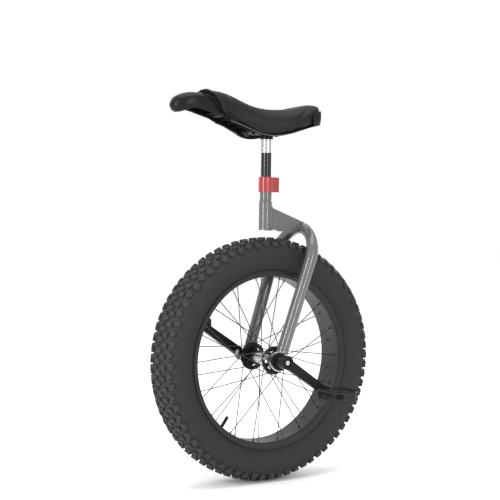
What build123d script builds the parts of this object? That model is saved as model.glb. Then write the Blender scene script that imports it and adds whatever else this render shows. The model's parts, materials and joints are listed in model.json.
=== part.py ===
"""Fat-tyre unicycle: frame, sliding seat post with saddle, wheel with cranks, and two pedals.

Millimetres. +X points forward, +Y to the rider's left and +Z up. The origin is on the ground,
straight below the axle. Wheel pieces are drawn about the axle, and lifted to it when written.
"""
from build123d import *
from math import asin, atan2, cos, degrees, hypot, pi, radians, sin
import os

# ---------------------------------------------------------------- driving dimensions
# Wheel
wheel_radius = 287.0            # ground to axle, over the tread
tyre_width = 100.0
tread_thickness = 8.5
sidewall = 3.0
bead_seat_radius = 203.0        # half of the standard 406 mm bead seat
rim_width = 82.0
rim_wall = 3.0
rim_flange_height = 6.0
rim_flange_wall = 2.0
rim_drop = 5.0                  # depth of the centre channel below the bead seats
channel_half_width = 27.0
bead_clearance = 0.1
bead_width = 5.2
strip_thickness = 1.0
tube_wall = 1.5
tube_gap = 0.5
# Spokes
spoke_count = 36
spoke_radius = 1.0
spoke_row_offset = 13.7         # each side's rim holes from the rim's middle
spoke_sweep = 60.0              # turn between a flange hole and its rim hole
spoke_head_radius = 2.0
spoke_head_length = 1.2
nipple_radius = 2.1
nipple_length = 12.0
nipple_head_radius = 2.8
nipple_lift = 2.2               # head's centre above the channel
nipple_clearance = 0.25
thread_clearance = 0.02
# Valve
valve_angle = -54.0             # about the axle, from straight ahead, upwards positive
valve_radius = 4.0
valve_reach = 32.0              # stem end inside the rim's inner face
valve_cap_length = 9.0
joint_sleeve_span = 8.6            # degrees of the rim that the joint's plate covers
joint_sleeve_width = 18.4
joint_sleeve_thickness = 1.5
# Hub
spindle_radius = 11.0
hub_shell_radius = 15.0
flange_radius = 33.0
flange_face = 50.0              # outer face of each flange from the middle
flange_thickness = 4.0
flange_hole_circle = 27.0
flange_hole_radius = 1.3
flange_bevel = 1.6              # the outer face slopes back beyond the holes, under the spokes
flange_hole_land = 0.35         # flat face left between a hole and the bevel
spoke_standoff = 1.0            # a bent spoke's surface to the flange face beside its hole
flange_slot_circle = 21.5
flange_slots = 6
bearing_spacing = 125.0         # centre to centre, a standard wide spacing
bearing_outer_radius = 21.0
bearing_width = 12.0
ball_radius = 2.75
ball_count = 11
ball_clearance = 0.1
race_gap = 3.2
spacer_radius = 14.0
crank_spacer_radius = 14.2
press_clearance = 0.02
running_clearance = 0.05
bolt_hole_clearance = 0.3
# Cranks and pedals
crank_length = 137.0
crank_angle = 213.3             # left crank, about the axle, from straight ahead
crank_boss_radius = 15.5
crank_boss_inner = 86.0
crank_boss_outer = 105.75
crank_arm_inner = 91.5
crank_arm_outer = 103.5
crank_arm_root = 11.5
crank_arm_tip = 9.5
pedal_boss_radius = 13.5
pedal_thread_radius = 7.15
crank_bolt_head = 5.2
crank_bolt_radius = 4.0
crank_bolt_socket = 3.0
crank_recess_radius = 8.9          # pocket in the boss round the bolt's head
crank_recess_depth = 5.5
crank_web = 2.5                    # metal between the bolt's head and the spindle's end
spindle_end_gap = 0.5
spline_teeth = 10
spline_radius = 10.4
spline_groove = 1.6
pedal_inner = 110.0
pedal_width = 80.0              # along the axle
pedal_length = 69.0             # fore and aft
pedal_thickness = 22.0
pedal_core_radius = 9.5
pedal_rail = 3.0                   # cage metal above and below its windows
pedal_rib = 3.0
pedal_rib_shares = (0.3, 0.62)
pedal_wall = 4.0
pedal_corner = 19.0               # how much each cut corner takes off fore and aft
pedal_corner_rise = 14.25         # and along the axle
tooth_height = 2.6
tooth_pitch = 9.0
pedal_axle_radius = 5.0
pedal_bush_radius = 8.0
# Frame
fork_lean = 18.0                # the fork plane leans back from the axle
fork_tube_radius = 14.3
fork_tube_wall = 2.0
fork_foot_outset = 7.5          # leg ends from the middle of the bearings, outward
fork_foot_height = 20.0
crown_radius = 79.0
crown_height = 326.0            # top of the tube's centre line, along the fork plane
housing_width = 14.0
housing_wall = 3.0
cap_gap = 0.6                   # between a housing and its cap
ear_reach = 36.5
ear_width = 13.0
ear_height = 7.5
cap_bolt_offset = 30.0
cap_bolt_radius = 2.5
cap_bolt_head = 4.3
seat_tube_radius = 15.9
seat_tube_bottom = 304.0        # heights from here on are above the axle
seat_tube_swage = 370.0
swage_length = 6.0
seat_tube_top = 427.0
seat_tube_wall = 1.6
seat_slot_width = 2.5
seat_slot_length = 36.0
arm_width = 26.0
arm_wall = 2.0
arm_top_front = 357.0
arm_bottom_front = 307.5
arm_bottom = 301.3
clamp_bottom = 394.0
clamp_height = 35.0
clamp_wall = 3.2
clamp_ear_reach = 31.0
clamp_ear_width = 19.0
clamp_bolt_radius = 2.5
clamp_bolt_head = 4.3
clamp_bolt_pitch = 18.0
# Seat post
post_radius = 12.7
post_wall = 2.2
post_bottom = 348.0
post_top = 529.5
sleeve_bottom = 486.0
sleeve_top = 518.0
sleeve_wall = 0.5
sleeve_grooves = 4
bracket_thickness = 4.0
bracket_length = 84.0
bracket_width = 48.0
bracket_middle = 15.0
saddle_bolt_radius = 3.0
saddle_bolt_head = 5.0
saddle_bolt_spacing_x = 64.0
saddle_bolt_spacing_y = 30.0
insert_radius = 4.5
insert_length = 5.0
# Saddle
base_wall = 3.0
base_skirt = 14.0
cover_thickness = 1.5
cover_to_base = 0.3
foam_gap = 0.1
handle_wall = 4.0
handle_gap = 0.4
bumper_wall = 3.0
bumper_reach = 30.0
bumper_rise = 33.0

# ---------------------------------------------------------------- worked-out places
rim_half = rim_width / 2
bed_outer = bead_seat_radius - rim_drop
bed_inner = bed_outer - rim_wall
bearing_y = bearing_spacing / 2
fork_foot_half = bearing_y + fork_foot_outset
seat_tube_top_radius = post_radius + seat_tube_wall
bearing_inner_face = bearing_y - bearing_width / 2
bearing_outer_face = bearing_y + bearing_width / 2
pitch_radius = (spindle_radius + bearing_outer_radius) / 2
housing_radius = bearing_outer_radius + housing_wall
bolt_seat = crank_boss_outer - crank_recess_depth
axle = Pos(0, 0, wheel_radius)
fork_plane = Plane(
    origin=(0, 0, 0),
    x_dir=(0, 1, 0),
    z_dir=(cos(radians(fork_lean)), 0, sin(radians(fork_lean))),
)


# ---------------------------------------------------------------- helpers
def write(name, *solids):
    """Write one node's solids to its STEP file."""
    shapes = [solid for group in solids for solid in group.solids()]
    shape = shapes[0] if len(shapes) == 1 else Compound(children=shapes)
    export_step(shape, f"parts/{name}.step")


def rod(radius, y0, y1, x=0.0, z=0.0):
    """Solid cylinder along Y between two stations."""
    across = Plane((x, y0, z), x_dir=(1, 0, 0), z_dir=(0, 1, 0))
    return extrude(across * Circle(radius), amount=y1 - y0)


def ring(outer, inner, y0, y1, x=0.0, z=0.0):
    """Tube along Y between two stations."""
    return rod(outer, y0, y1, x, z) - rod(inner, y0 - 1, y1 + 1, x, z)


def post(radius, z0, z1, x=0.0, y=0.0):
    """Solid cylinder along Z between two heights."""
    return Pos(x, y, z0) * extrude(Circle(radius), amount=z1 - z0)


def block(x0, x1, y0, y1, z0, z1):
    """Box between two corners."""
    return Pos((x0 + x1) / 2, (y0 + y1) / 2, (z0 + z1) / 2) * Box(x1 - x0, y1 - y0, z1 - z0)


def turned(section):
    """Revolve a section, drawn as (along Y, radius), about the axle."""
    return revolve(Plane.YZ * section, axis=Axis.Y, revolution_arc=360)


def mirrored_pair(shape):
    """A left-hand piece, and its mirror image on the right."""
    return [shape, mirror(shape, about=Plane.XZ)]


def far_side(shape):
    """The right-hand copy of a left crank or pedal piece: half a turn on, and mirrored."""
    return Rot(0, 180, 0) * mirror(shape, about=Plane.XZ)


def around(count, start=0.0):
    """Rotations about the axle, evenly spaced."""
    return [Rot(0, -(start + 360.0 * i / count), 0) for i in range(count)]


def polar(radius, angle, y):
    """Point at a radius and an angle about the axle, the angle from +X towards +Z."""
    return Vector(radius * cos(radians(angle)), y, radius * sin(radians(angle)))


def bar(start, end, radius):
    """Round bar between two points."""
    along = end - start
    return extrude(Plane(start, z_dir=along) * Circle(radius), amount=along.length)


# ---------------------------------------------------------------- wheel
def tyre_profile(inset_side, inset_tread, foot):
    """Closed half-ring outline of the tyre, inset from its outer shape, open down to foot."""
    side = tyre_width / 2 - inset_side
    crown = wheel_radius - inset_tread
    bead = rim_half - rim_flange_wall - bead_clearance * 8 - inset_side
    bead_top = bead_seat_radius + rim_flange_height + 3
    middle = wheel_radius - 39
    shoulder = side - 14
    shoulder_radius = crown - 6.5
    walls = []
    for s in (1, -1):
        walls.append(ThreePointArc((s * bead, bead_top), (s * (side - 1.7), middle - 19), (s * side, middle)))
        walls.append(ThreePointArc(
            (s * side, middle),
            (s * (side - 3.4), (middle + shoulder_radius) / 2 + 4.6),
            (s * shoulder, shoulder_radius),
        ))
        walls.append(Line((s * bead, foot), (s * bead, bead_top)))
    crown_arc = ThreePointArc((-shoulder, shoulder_radius), (0, crown), (shoulder, shoulder_radius))
    return make_face(Curve() + walls + [crown_arc, Line((-bead, foot), (bead, foot))])


def make_tyre():
    foot = bead_seat_radius + bead_clearance
    outside = tyre_profile(0, 0, foot)
    inside = tyre_profile(sidewall, tread_thickness, foot - 1)
    beads = []
    outer_bead = rim_half - rim_flange_wall - bead_clearance * 8
    for s in (1, -1):
        beads.append(Pos(s * (outer_bead - bead_width / 2), foot + 4) * Rectangle(bead_width, 8))
    return turned(outside - inside + beads)


def make_inner_tube():
    foot = bead_seat_radius + strip_thickness + tube_gap
    outside = tyre_profile(sidewall + tube_gap + 2.2, tread_thickness + tube_gap, foot)
    hollow = turned(outside - offset(outside, -tube_wall))
    return hollow - valve_bar(valve_radius + running_clearance, foot - 2, foot + tube_wall + 1)


def rim_section():
    half = rim_half
    seat = bead_seat_radius
    right = [
        (channel_half_width, bed_outer),
        (channel_half_width + 3, seat),
        (half - rim_flange_wall, seat),
        (half - rim_flange_wall, seat + rim_flange_height),
        (half, seat + rim_flange_height),
        (half, seat - rim_wall),
        (channel_half_width + 3 + 1, seat - rim_wall),
        (channel_half_width + 1, bed_inner),
    ]
    left = [(-y, r) for y, r in reversed(right)]
    return make_face(Polyline(*right, *left, close=True))


def spoke_lines():
    """Elbow point, rim point, side of the flange taken by the shaft, and hand, for each spoke."""
    per_side = spoke_count // 2
    lines = []
    for hand in (1, -1):
        shift = 0.0 if hand > 0 else 360.0 / spoke_count
        for i in range(per_side):
            leading = i % 2 == 0
            hole = shift + i * 360.0 / per_side
            rim_hole = hole + (spoke_sweep if leading else -spoke_sweep)
            face = flange_face if leading else flange_face - flange_thickness
            step = spoke_radius + spoke_standoff
            shaft_y = face + step if leading else face - step
            elbow = polar(flange_hole_circle, hole, hand * shaft_y)
            target = polar((bed_inner + bed_outer) / 2, rim_hole, hand * spoke_row_offset)
            lines.append((elbow, target, leading, hand, hole))
    return lines


def make_spoke(line):
    elbow, target, leading, hand, hole = line
    head_face = flange_face - flange_thickness if leading else flange_face
    out = -1 if leading else 1
    head_start = hand * (head_face + out * 0.1)
    head_end = hand * (head_face + out * (0.1 + spoke_head_length))
    centre = polar(flange_hole_circle, hole, 0)
    neck = bar(elbow, Vector(centre.X, head_start, centre.Z), spoke_radius)
    low, high = sorted((head_start, head_end))
    head = rod(spoke_head_radius, low, high, centre.X, centre.Z)
    along = (target - elbow).normalized()
    shaft = bar(elbow, target - along * 2, spoke_radius)
    return neck + head + shaft + Pos(elbow) * Sphere(spoke_radius)


def nipple_seat(line):
    """Centre of a nipple's round head, just above the channel, and the spoke's direction."""
    elbow, target, *_ = line
    along = (target - elbow).normalized()
    return target + along * (rim_wall / 2 + nipple_lift), along


def place_nipple(nipple, line):
    seat, along = nipple_seat(line)
    return Plane(seat, z_dir=along) * nipple


def make_nipple():
    """One nipple about Z, its head's centre at the origin and its shank downwards."""
    bore = spoke_radius + thread_clearance
    neck = -(nipple_head_radius**2 - nipple_radius**2) ** 0.5
    top = (nipple_head_radius**2 - bore**2) ** 0.5
    head = ThreePointArc((nipple_radius, neck), (nipple_head_radius, 0), (bore, top))
    sides = Polyline((bore, top), (bore, -nipple_length), (nipple_radius, -nipple_length), (nipple_radius, neck))
    section = Plane.XZ * make_face(Curve() + [head, sides])
    return revolve(section, axis=Axis.Z, revolution_arc=360)


def make_rim(lines):
    rim = turned(rim_section())
    holes = []
    for line in lines:
        seat, along = nipple_seat(line)
        holes.append(bar(seat - along * 8, seat + along * 4, nipple_radius + nipple_clearance))
    holes.append(valve_bar(valve_radius + running_clearance * 2, bed_inner - 2, bed_outer + 2))
    return rim - holes


def valve_bar(radius, inner, outer):
    """Round bar along the valve's line, between two distances from the axle."""
    return bar(polar(inner, valve_angle, 0), polar(outer, valve_angle, 0), radius)


def make_strip():
    inner = bead_seat_radius + running_clearance
    band = ring(inner + strip_thickness, inner, -channel_half_width - 4.8, channel_half_width + 4.8)
    return band - valve_bar(valve_radius + running_clearance * 2, inner - 2, inner + 3)


def make_valve():
    tip = bed_inner - valve_reach
    root = bead_seat_radius + strip_thickness + tube_gap + tube_wall
    stem = valve_bar(valve_radius, tip + valve_cap_length - 3, root + 0.5)
    foot = valve_bar(valve_radius * 2.2, root + 0.1, root + 1.3)
    neck = valve_bar(valve_radius * 0.62, tip + 2, tip + valve_cap_length)
    cap = valve_bar(valve_radius * 0.95, tip, tip + valve_cap_length - 3.1)
    cap -= valve_bar(valve_radius * 0.62 + thread_clearance, tip + 1.9, tip + valve_cap_length)
    return stem + foot + neck, cap


def make_joint_sleeve():
    """Curved plate that joins the rim's ends, in the channel opposite the valve."""
    plate = ring(
        bed_outer + joint_sleeve_thickness, bed_outer + 0.02,
        -joint_sleeve_width / 2, joint_sleeve_width / 2,
    )
    reach = bed_outer * 1.2
    tip = reach * sin(radians(joint_sleeve_span / 2))
    wedge_face = make_face(Polyline((0, 0), (reach, tip), (reach, -tip), close=True))
    wedge = extrude(Plane.XZ * wedge_face, amount=joint_sleeve_width, both=True)
    return plate & (Rot(0, -(valve_angle + 180), 0) * wedge)


def make_flange():
    """Left hub flange with its tapered collar, spoke holes and lightening slots."""
    root = flange_face - flange_thickness
    bore = hub_shell_radius + press_clearance
    bevel_start = flange_hole_circle + flange_hole_radius + flange_hole_land
    section = make_face(Polyline(
        (root - 18, bore), (flange_face, bore), (flange_face, bevel_start),
        (flange_face - flange_bevel, flange_radius), (root, flange_radius), (root, bore + 3.2),
        (root - 18, bore + 1.2), close=True,
    ))
    body = turned(section)
    cuts = []
    per_side = spoke_count // 2
    for turn in around(per_side):
        cuts.append(turn * rod(flange_hole_radius, root - 1, flange_face + 1, flange_hole_circle))
    slot = extrude(
        Plane((flange_slot_circle, root - 1, 0), x_dir=(0, 0, 1), z_dir=(0, 1, 0))
        * SlotCenterToCenter(7.5, 4.0),
        amount=flange_thickness + 2,
    )
    cuts += [turn * slot for turn in around(flange_slots, 10)]
    return body - cuts


def spline_profile(clearance):
    """Splined spindle end, seen along the axle, grown by a clearance."""
    profile = Circle(spline_radius + clearance)
    for i in range(spline_teeth):
        a = 2 * pi * i / spline_teeth
        notch = Circle(spline_groove - clearance)
        profile -= Pos(spline_radius * cos(a), spline_radius * sin(a)) * notch
    return profile


def spline_bar(clearance, y0, y1):
    across = Plane((0, y0, 0), x_dir=(1, 0, 0), z_dir=(0, 1, 0))
    return extrude(across * spline_profile(clearance), amount=y1 - y0)


def make_spindle():
    end = bolt_seat - crank_web - spindle_end_gap
    body = rod(spindle_radius, -crank_boss_inner, crank_boss_inner)
    body += spline_bar(0, crank_boss_inner - 1, end)
    body += spline_bar(0, -end, 1 - crank_boss_inner)
    thread = crank_bolt_radius + thread_clearance
    return body - rod(thread, end - 30, end + 1) - rod(thread, -end - 1, 30 - end)


def make_races():
    """Left outer race, inner race and balls."""
    y0, y1 = bearing_inner_face, bearing_outer_face
    groove_radius = ball_radius + ball_clearance
    groove = Plane.YZ * Pos(bearing_y, pitch_radius) * Circle(groove_radius)
    channel = revolve(groove, axis=Axis.Y, revolution_arc=360)
    outer = ring(bearing_outer_radius, pitch_radius + race_gap / 2, y0, y1) - channel
    inner = ring(pitch_radius - race_gap / 2, spindle_radius + press_clearance, y0, y1) - channel
    ball = Pos(pitch_radius, bearing_y, 0) * Sphere(ball_radius)
    balls = [turn * ball for turn in around(ball_count)]
    return outer, inner, balls


def make_seals():
    """Left bearing's two rubber seals, held in the outer race's mouth."""
    outer = pitch_radius + race_gap / 2 - press_clearance
    inner = pitch_radius - race_gap / 2 + running_clearance
    return [
        ring(outer, inner, bearing_inner_face + 0.3, bearing_inner_face + 1.3),
        ring(outer, inner, bearing_outer_face - 1.3, bearing_outer_face - 0.3),
    ]


def make_spacers():
    bore = spindle_radius + press_clearance
    hub = ring(spacer_radius, bore, flange_face + 0.02, bearing_inner_face - 0.02)
    crank = ring(crank_spacer_radius, bore, bearing_outer_face + 0.02, crank_boss_inner - 0.02)
    return hub, crank


def crank_frame():
    """Turn a piece drawn along +X to the left crank's direction."""
    return Rot(0, -crank_angle, 0)


def make_crank():
    arm_outline = make_hull(
        Circle(crank_arm_root).edges() + (Pos(crank_length, 0) * Circle(crank_arm_tip)).edges()
    )
    across = Plane((0, crank_arm_inner, 0), x_dir=(1, 0, 0), z_dir=(0, -1, 0))
    arm = extrude(across * arm_outline, amount=-(crank_arm_outer - crank_arm_inner))
    boss = rod(crank_boss_radius, crank_boss_inner, crank_boss_outer)
    eye = rod(pedal_boss_radius, crank_arm_inner, crank_arm_outer, crank_length)
    bore_end = bolt_seat - crank_web
    body = arm + boss + eye
    body -= spline_bar(press_clearance, crank_boss_inner - 1, bore_end)
    body -= rod(crank_bolt_radius + bolt_hole_clearance, bore_end - 1, bolt_seat + 1)
    body -= rod(crank_recess_radius, bolt_seat, crank_boss_outer + 1)
    body -= rod(pedal_thread_radius, crank_arm_inner - 1, crank_arm_outer + 1, crank_length)
    return body


def make_crank_bolt():
    head = rod(crank_bolt_head, bolt_seat + 0.02, crank_boss_outer - 0.8)
    head -= extrude(
        Plane((0, crank_boss_outer + 1, 0), x_dir=(1, 0, 0), z_dir=(0, -1, 0)) * RegularPolygon(crank_bolt_socket, 6),
        amount=4.5,
    )
    return head + rod(crank_bolt_radius, bolt_seat - 24, bolt_seat + 0.5)


# ---------------------------------------------------------------- pedals
def make_pedal_axle():
    """Axle, screwed into the crank's end, and the nut that holds the pedal on."""
    thread = rod(pedal_thread_radius - thread_clearance, crank_arm_inner + 0.5, crank_arm_outer + 0.1)
    collar = rod(8.6, crank_arm_outer + 0.05, crank_arm_outer + 1.6)
    flats = rod(7.6, crank_arm_outer + 1.5, pedal_inner - 0.8)
    shaft = rod(pedal_axle_radius, pedal_inner - 1, pedal_inner + pedal_width - 12)
    stud = rod(3.0, pedal_inner + pedal_width - 13, pedal_inner + pedal_width - 5)
    nut_start = pedal_inner + pedal_width - 11.9
    nut = extrude(
        Plane((0, nut_start, 0), x_dir=(1, 0, 0), z_dir=(0, 1, 0)) * RegularPolygon(6.0, 6), amount=5
    )
    nut -= rod(3.0 + thread_clearance, nut_start - 1, nut_start + 6)
    return thread + collar + flats + shaft + stud, nut


def make_bushes():
    bore = pedal_axle_radius + running_clearance
    stations = (pedal_inner + 1, pedal_inner + pedal_width - 26)
    return [ring(pedal_bush_radius, bore, y, y + 12) for y in stations]


def pedal_outline(inset):
    """Cage seen from above, with its outer corners cut off."""
    half = pedal_length / 2 - inset
    inner = pedal_inner + inset
    outer = pedal_inner + pedal_width - inset
    share = 1 - inset * 0.5 / pedal_corner
    cut, rise = pedal_corner * share, pedal_corner_rise * share
    return make_face(Polyline(
        (-half, inner), (half, inner), (half, outer - rise), (half - cut, outer),
        (cut - half, outer), (-half, outer - rise), close=True,
    ))


def make_pedal_cage():
    half_t = pedal_thickness / 2
    half = pedal_length / 2
    outer = pedal_inner + pedal_width
    walls = extrude(pedal_outline(0) - pedal_outline(pedal_wall), amount=half_t, both=True)
    core = rod(pedal_core_radius, pedal_inner, outer - pedal_wall / 2)
    body = walls + core
    rib_top = half_t - pedal_rail + 1
    for share in pedal_rib_shares:
        y = pedal_inner + pedal_width * share
        body += block(1 - half, half - 1, y - pedal_rib / 2, y + pedal_rib / 2, -rib_top, rib_top)
    top = half_t - pedal_rail
    last = outer - pedal_corner_rise - 1.5
    window = block(half - pedal_wall, half + 1, pedal_inner + pedal_wall + 1, last, -top, top)
    slope = degrees(atan2(pedal_corner_rise, pedal_corner))
    length = hypot(pedal_corner, pedal_corner_rise)
    middle = Pos(half - pedal_corner / 2, outer - pedal_corner_rise / 2) * Rot(0, 0, -slope)
    corner = middle * Pos(0, -pedal_wall / 2) * Box(length - pedal_wall, pedal_wall + 2, 2 * top)
    for cut in (window, corner):
        body -= [cut, mirror(cut, about=Plane.YZ)]
    body -= rod(pedal_bush_radius + press_clearance, pedal_inner - 1, outer - 12)
    body -= rod(pedal_bush_radius - 0.5, pedal_inner, outer + 1)
    return body + make_teeth()


def make_teeth():
    """Moulded grip teeth along the top and bottom edges of the cage."""
    half = pedal_length / 2 - pedal_wall / 2
    outer = pedal_inner + pedal_width
    last = outer - pedal_corner_rise
    spots = []
    y = pedal_inner + 5
    while y < last:
        spots += [(half, y), (-half, y)]
        y += tooth_pitch
    across = outer - pedal_wall / 2
    x = -(pedal_length / 2 - pedal_corner) + 1.6
    while x < pedal_length / 2 - pedal_corner:
        spots.append((x, across))
        x += tooth_pitch * 0.7
    teeth = []
    top = pedal_thickness / 2
    for x, y in spots:
        tooth = block(x - 1.6, x + 1.6, y - 1.4, y + 1.4, top - 0.5, top + tooth_height)
        teeth += [tooth, mirror(tooth, about=Plane.XY)]
    return teeth


def make_end_cap():
    end = pedal_inner + pedal_width
    return rod(pedal_bush_radius - 0.5 - press_clearance, end - 3, end - 0.2)


# ---------------------------------------------------------------- frame
def fork_path(extra=0.0):
    """Centre line of the fork tube, in the fork plane: a leg, the crown's arc, and a leg."""
    rise = crown_height - crown_radius - fork_foot_height
    splay = asin(crown_radius / hypot(rise, fork_foot_half)) - atan2(fork_foot_half, rise)
    centre = crown_height - crown_radius
    touch = (crown_radius * cos(splay), centre - crown_radius * sin(splay))
    foot = (fork_foot_half - extra * sin(splay), fork_foot_height - extra * cos(splay))
    leg = Line(foot, touch)
    arc = ThreePointArc(touch, (0, crown_height), (-touch[0], touch[1]))
    far_leg = Line((-touch[0], touch[1]), (-foot[0], foot[1]))
    return fork_plane * (leg + arc + far_leg), splay


def fork_sweep(radius, extra=0.0):
    path, _ = fork_path(extra)
    wire = Wire(path.edges())
    start = Plane(origin=wire @ 0, z_dir=wire % 0)
    return sweep(start * Circle(radius), path=wire)


def make_fork():
    tube = fork_sweep(fork_tube_radius) - fork_sweep(fork_tube_radius - fork_tube_wall, 5.0)
    cope = rod(housing_radius + press_clearance, -110, 110)
    return tube - cope


def lean(shape):
    """Lean a piece back with the fork, about the axle."""
    return Rot(0, -fork_lean, 0) * shape


def make_housing():
    """Left bearing housing on the leg's end, and the cap below it, with their bolts."""
    y0 = bearing_y - housing_width / 2
    y1 = bearing_y + housing_width / 2
    bore = bearing_outer_radius + press_clearance
    big = 60
    body = rod(housing_radius, y0, y1)
    ear_y0 = bearing_y - ear_width / 2
    ear_y1 = bearing_y + ear_width / 2
    body += block(-ear_reach, ear_reach, ear_y0, ear_y1, -ear_height, ear_height)
    body -= rod(bore, y0 - 1, y1 + 1)
    upper = body & block(-big, big, y0 - 1, y1 + 1, cap_gap / 2, big)
    lower = body & block(-big, big, y0 - 1, y1 + 1, -big, -cap_gap / 2)
    bolts = []
    for x in (cap_bolt_offset, -cap_bolt_offset):
        upper -= post(cap_bolt_radius + thread_clearance, -big, ear_height + 1, x, bearing_y)
        lower -= post(cap_bolt_radius + 0.2, -big, 0, x, bearing_y)
        head_top = -ear_height - 0.02
        head = post(cap_bolt_head, head_top - 5, head_top, x, bearing_y)
        head -= Pos(x, bearing_y, head_top - 6) * extrude(RegularPolygon(2.3, 6), amount=4)
        bolts.append(lean(head + post(cap_bolt_radius, head_top - 0.5, ear_height - 0.5, x, bearing_y)))
    _, splay = fork_path()
    foot_y = fork_foot_half - fork_foot_height * sin(splay)
    plug = Pos(0, foot_y, 0) * Rot(-degrees(splay), 0, 0) * post(
        fork_tube_radius - fork_tube_wall - press_clearance * 2, 12, 46
    )
    plug -= rod(housing_radius - 0.05, y0 - 20, y1 + 30)
    return lean(upper + plug), lean(lower), bolts


def make_seat_tube():
    low = seat_tube_radius
    top = seat_tube_top_radius
    bore_low = low - seat_tube_wall
    bore = post_radius + running_clearance
    shoulder = seat_tube_swage + swage_length
    section = make_face(Polyline(
        (bore_low, seat_tube_bottom), (low, seat_tube_bottom), (low, seat_tube_swage),
        (top, shoulder), (top, seat_tube_top), (bore, seat_tube_top), (bore, shoulder),
        (bore_low, seat_tube_swage), close=True,
    ))
    tube = revolve(Plane.XZ * section, axis=Axis.Z, revolution_arc=360)
    slot_end = seat_tube_top - seat_slot_length
    tube -= block(-30, 0, -seat_slot_width / 2, seat_slot_width / 2, slot_end, seat_tube_top + 1)
    stop = Plane((-30, 0, slot_end), z_dir=(1, 0, 0)) * Circle(seat_slot_width)
    return tube - extrude(stop, amount=28)


def make_arm():
    """Box-section arm, coped to the seat tube in front and to the crown tube behind."""
    crown_x = -crown_height * sin(radians(fork_lean))
    crown_z = crown_height * cos(radians(fork_lean))
    top_rear = crown_z + fork_tube_radius
    outline = Polyline(
        (-2, arm_top_front + 3), (crown_x - 3, top_rear - 0.5), (crown_x - 3, arm_bottom + 3),
        (crown_x + 6, arm_bottom), (crown_x * 0.36, arm_bottom), (-2, arm_bottom_front + 1), close=True,
    )
    side = Plane.XZ * make_face(outline)
    outer = extrude(side, amount=arm_width / 2, both=True)
    inner = extrude(Plane.XZ * offset(make_face(outline), -arm_wall), amount=arm_width / 2 - arm_wall, both=True)
    ends = block(-40, 2, 2 - arm_width / 2, arm_width / 2 - 2, arm_bottom_front + 4, arm_top_front - 14)
    tube = outer - inner - ends
    tube -= post(seat_tube_radius + press_clearance, seat_tube_bottom - 20, seat_tube_top)
    tube -= fork_sweep(fork_tube_radius + press_clearance)
    return max(tube.solids(), key=lambda solid: solid.volume)


def make_clamp():
    top = clamp_bottom + clamp_height
    outer = seat_tube_top_radius + clamp_wall
    bore = seat_tube_top_radius + running_clearance
    half = clamp_ear_width / 2
    body = post(outer, clamp_bottom, top)
    body += block(-clamp_ear_reach, -4, -half, half, clamp_bottom, top)
    body -= post(bore, clamp_bottom - 1, seat_tube_top)
    body -= post(post_radius + 0.3, seat_tube_top - 1, top + 1)
    body -= block(-clamp_ear_reach - 1, -4, -seat_slot_width / 2, seat_slot_width / 2, clamp_bottom - 1, top + 1)
    middle = (clamp_bottom + top) / 2
    bolt_x = -(outer + clamp_ear_reach) / 2 - 0.5
    bolts = []
    for z in (middle - clamp_bolt_pitch / 2, middle + clamp_bolt_pitch / 2):
        body -= rod(clamp_bolt_radius + 0.2, -half - 1, 0, bolt_x, z)
        body -= rod(clamp_bolt_radius + thread_clearance, 0, half - 2, bolt_x, z)
        body -= rod(clamp_bolt_head + 0.3, -half - 1, -half + 3, bolt_x, z)
        head = rod(clamp_bolt_head, -half - 1.5, -half + 2.9, bolt_x, z)
        socket = Plane((bolt_x, -half - 2, z), x_dir=(1, 0, 0), z_dir=(0, 1, 0)) * RegularPolygon(2.3, 6)
        head -= extrude(socket, amount=3.5)
        bolts.append(head + rod(clamp_bolt_radius, -half + 2.5, half - 3, bolt_x, z))
    return body, bolts


# ---------------------------------------------------------------- seat post and saddle
def make_post():
    return post(post_radius, post_bottom, post_top) - post(post_radius - post_wall, post_bottom - 1, post_top - 6)


def make_sleeve():
    outer = post_radius + sleeve_wall
    sleeve = post(outer, sleeve_bottom, sleeve_top)
    sleeve -= post(post_radius + press_clearance, sleeve_bottom - 1, sleeve_top + 1)
    pitch = (sleeve_top - sleeve_bottom) / sleeve_grooves
    for i in range(sleeve_grooves):
        z = sleeve_bottom + pitch * (i + 0.5)
        sleeve -= post(outer + 1, z - 1, z + 1) - post(outer - sleeve_wall / 2, z - 2, z + 2)
    return sleeve


def saddle_bolt_spots():
    dx, dy = saddle_bolt_spacing_x / 2, saddle_bolt_spacing_y / 2
    return [(bracket_middle + x, y) for x in (-dx, dx) for y in (-dy, dy)]


def make_bracket():
    """Plate welded to the post's top, with its four bolts."""
    half_x, half_y = bracket_length / 2, bracket_width / 2
    plate = block(bracket_middle - half_x, bracket_middle + half_x, -half_y, half_y,
                  post_top, post_top + bracket_thickness)
    plate = fillet(plate.edges().filter_by(Axis.Z), 8)
    socket = post(post_radius + 3, sleeve_top + 1, post_top + 1) - post(post_radius + press_clearance, sleeve_top, post_top)
    body = plate + socket
    bolts = []
    for x, y in saddle_bolt_spots():
        body -= post(saddle_bolt_radius + 0.3, post_top - 1, post_top + bracket_thickness + 1, x, y)
        head = post(saddle_bolt_head, post_top - 5, post_top - 0.02, x, y)
        head -= Pos(x, y, post_top - 6) * extrude(RegularPolygon(2.8, 6), amount=4)
        reach = post_top + bracket_thickness + insert_length
        bolts.append(head + post(saddle_bolt_radius, post_top - 0.5, reach, x, y))
    return body, bolts


def saddle_bottom(lift=0.0):
    """Lower edge of the saddle, side view."""
    points = [(-118, 560), (-85, 549), (-30, 531), (0, 523.5), (25, 521.5), (75, 537.5), (130, 553),
              (190, 560), (262, 566)]
    return Spline(*[(x, z + lift) for x, z in points])


def saddle_top(drop=0.0):
    """Ridge of the saddle, side view, from the raised tail to the nose."""
    points = [(-118, 602), (-76, 599), (-20, 589), (30, 588.5), (80, 602), (135, 622), (165, 627),
              (200, 618), (235, 608), (262, 590)]
    return Spline(*[(x, z - drop) for x, z in points])


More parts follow.
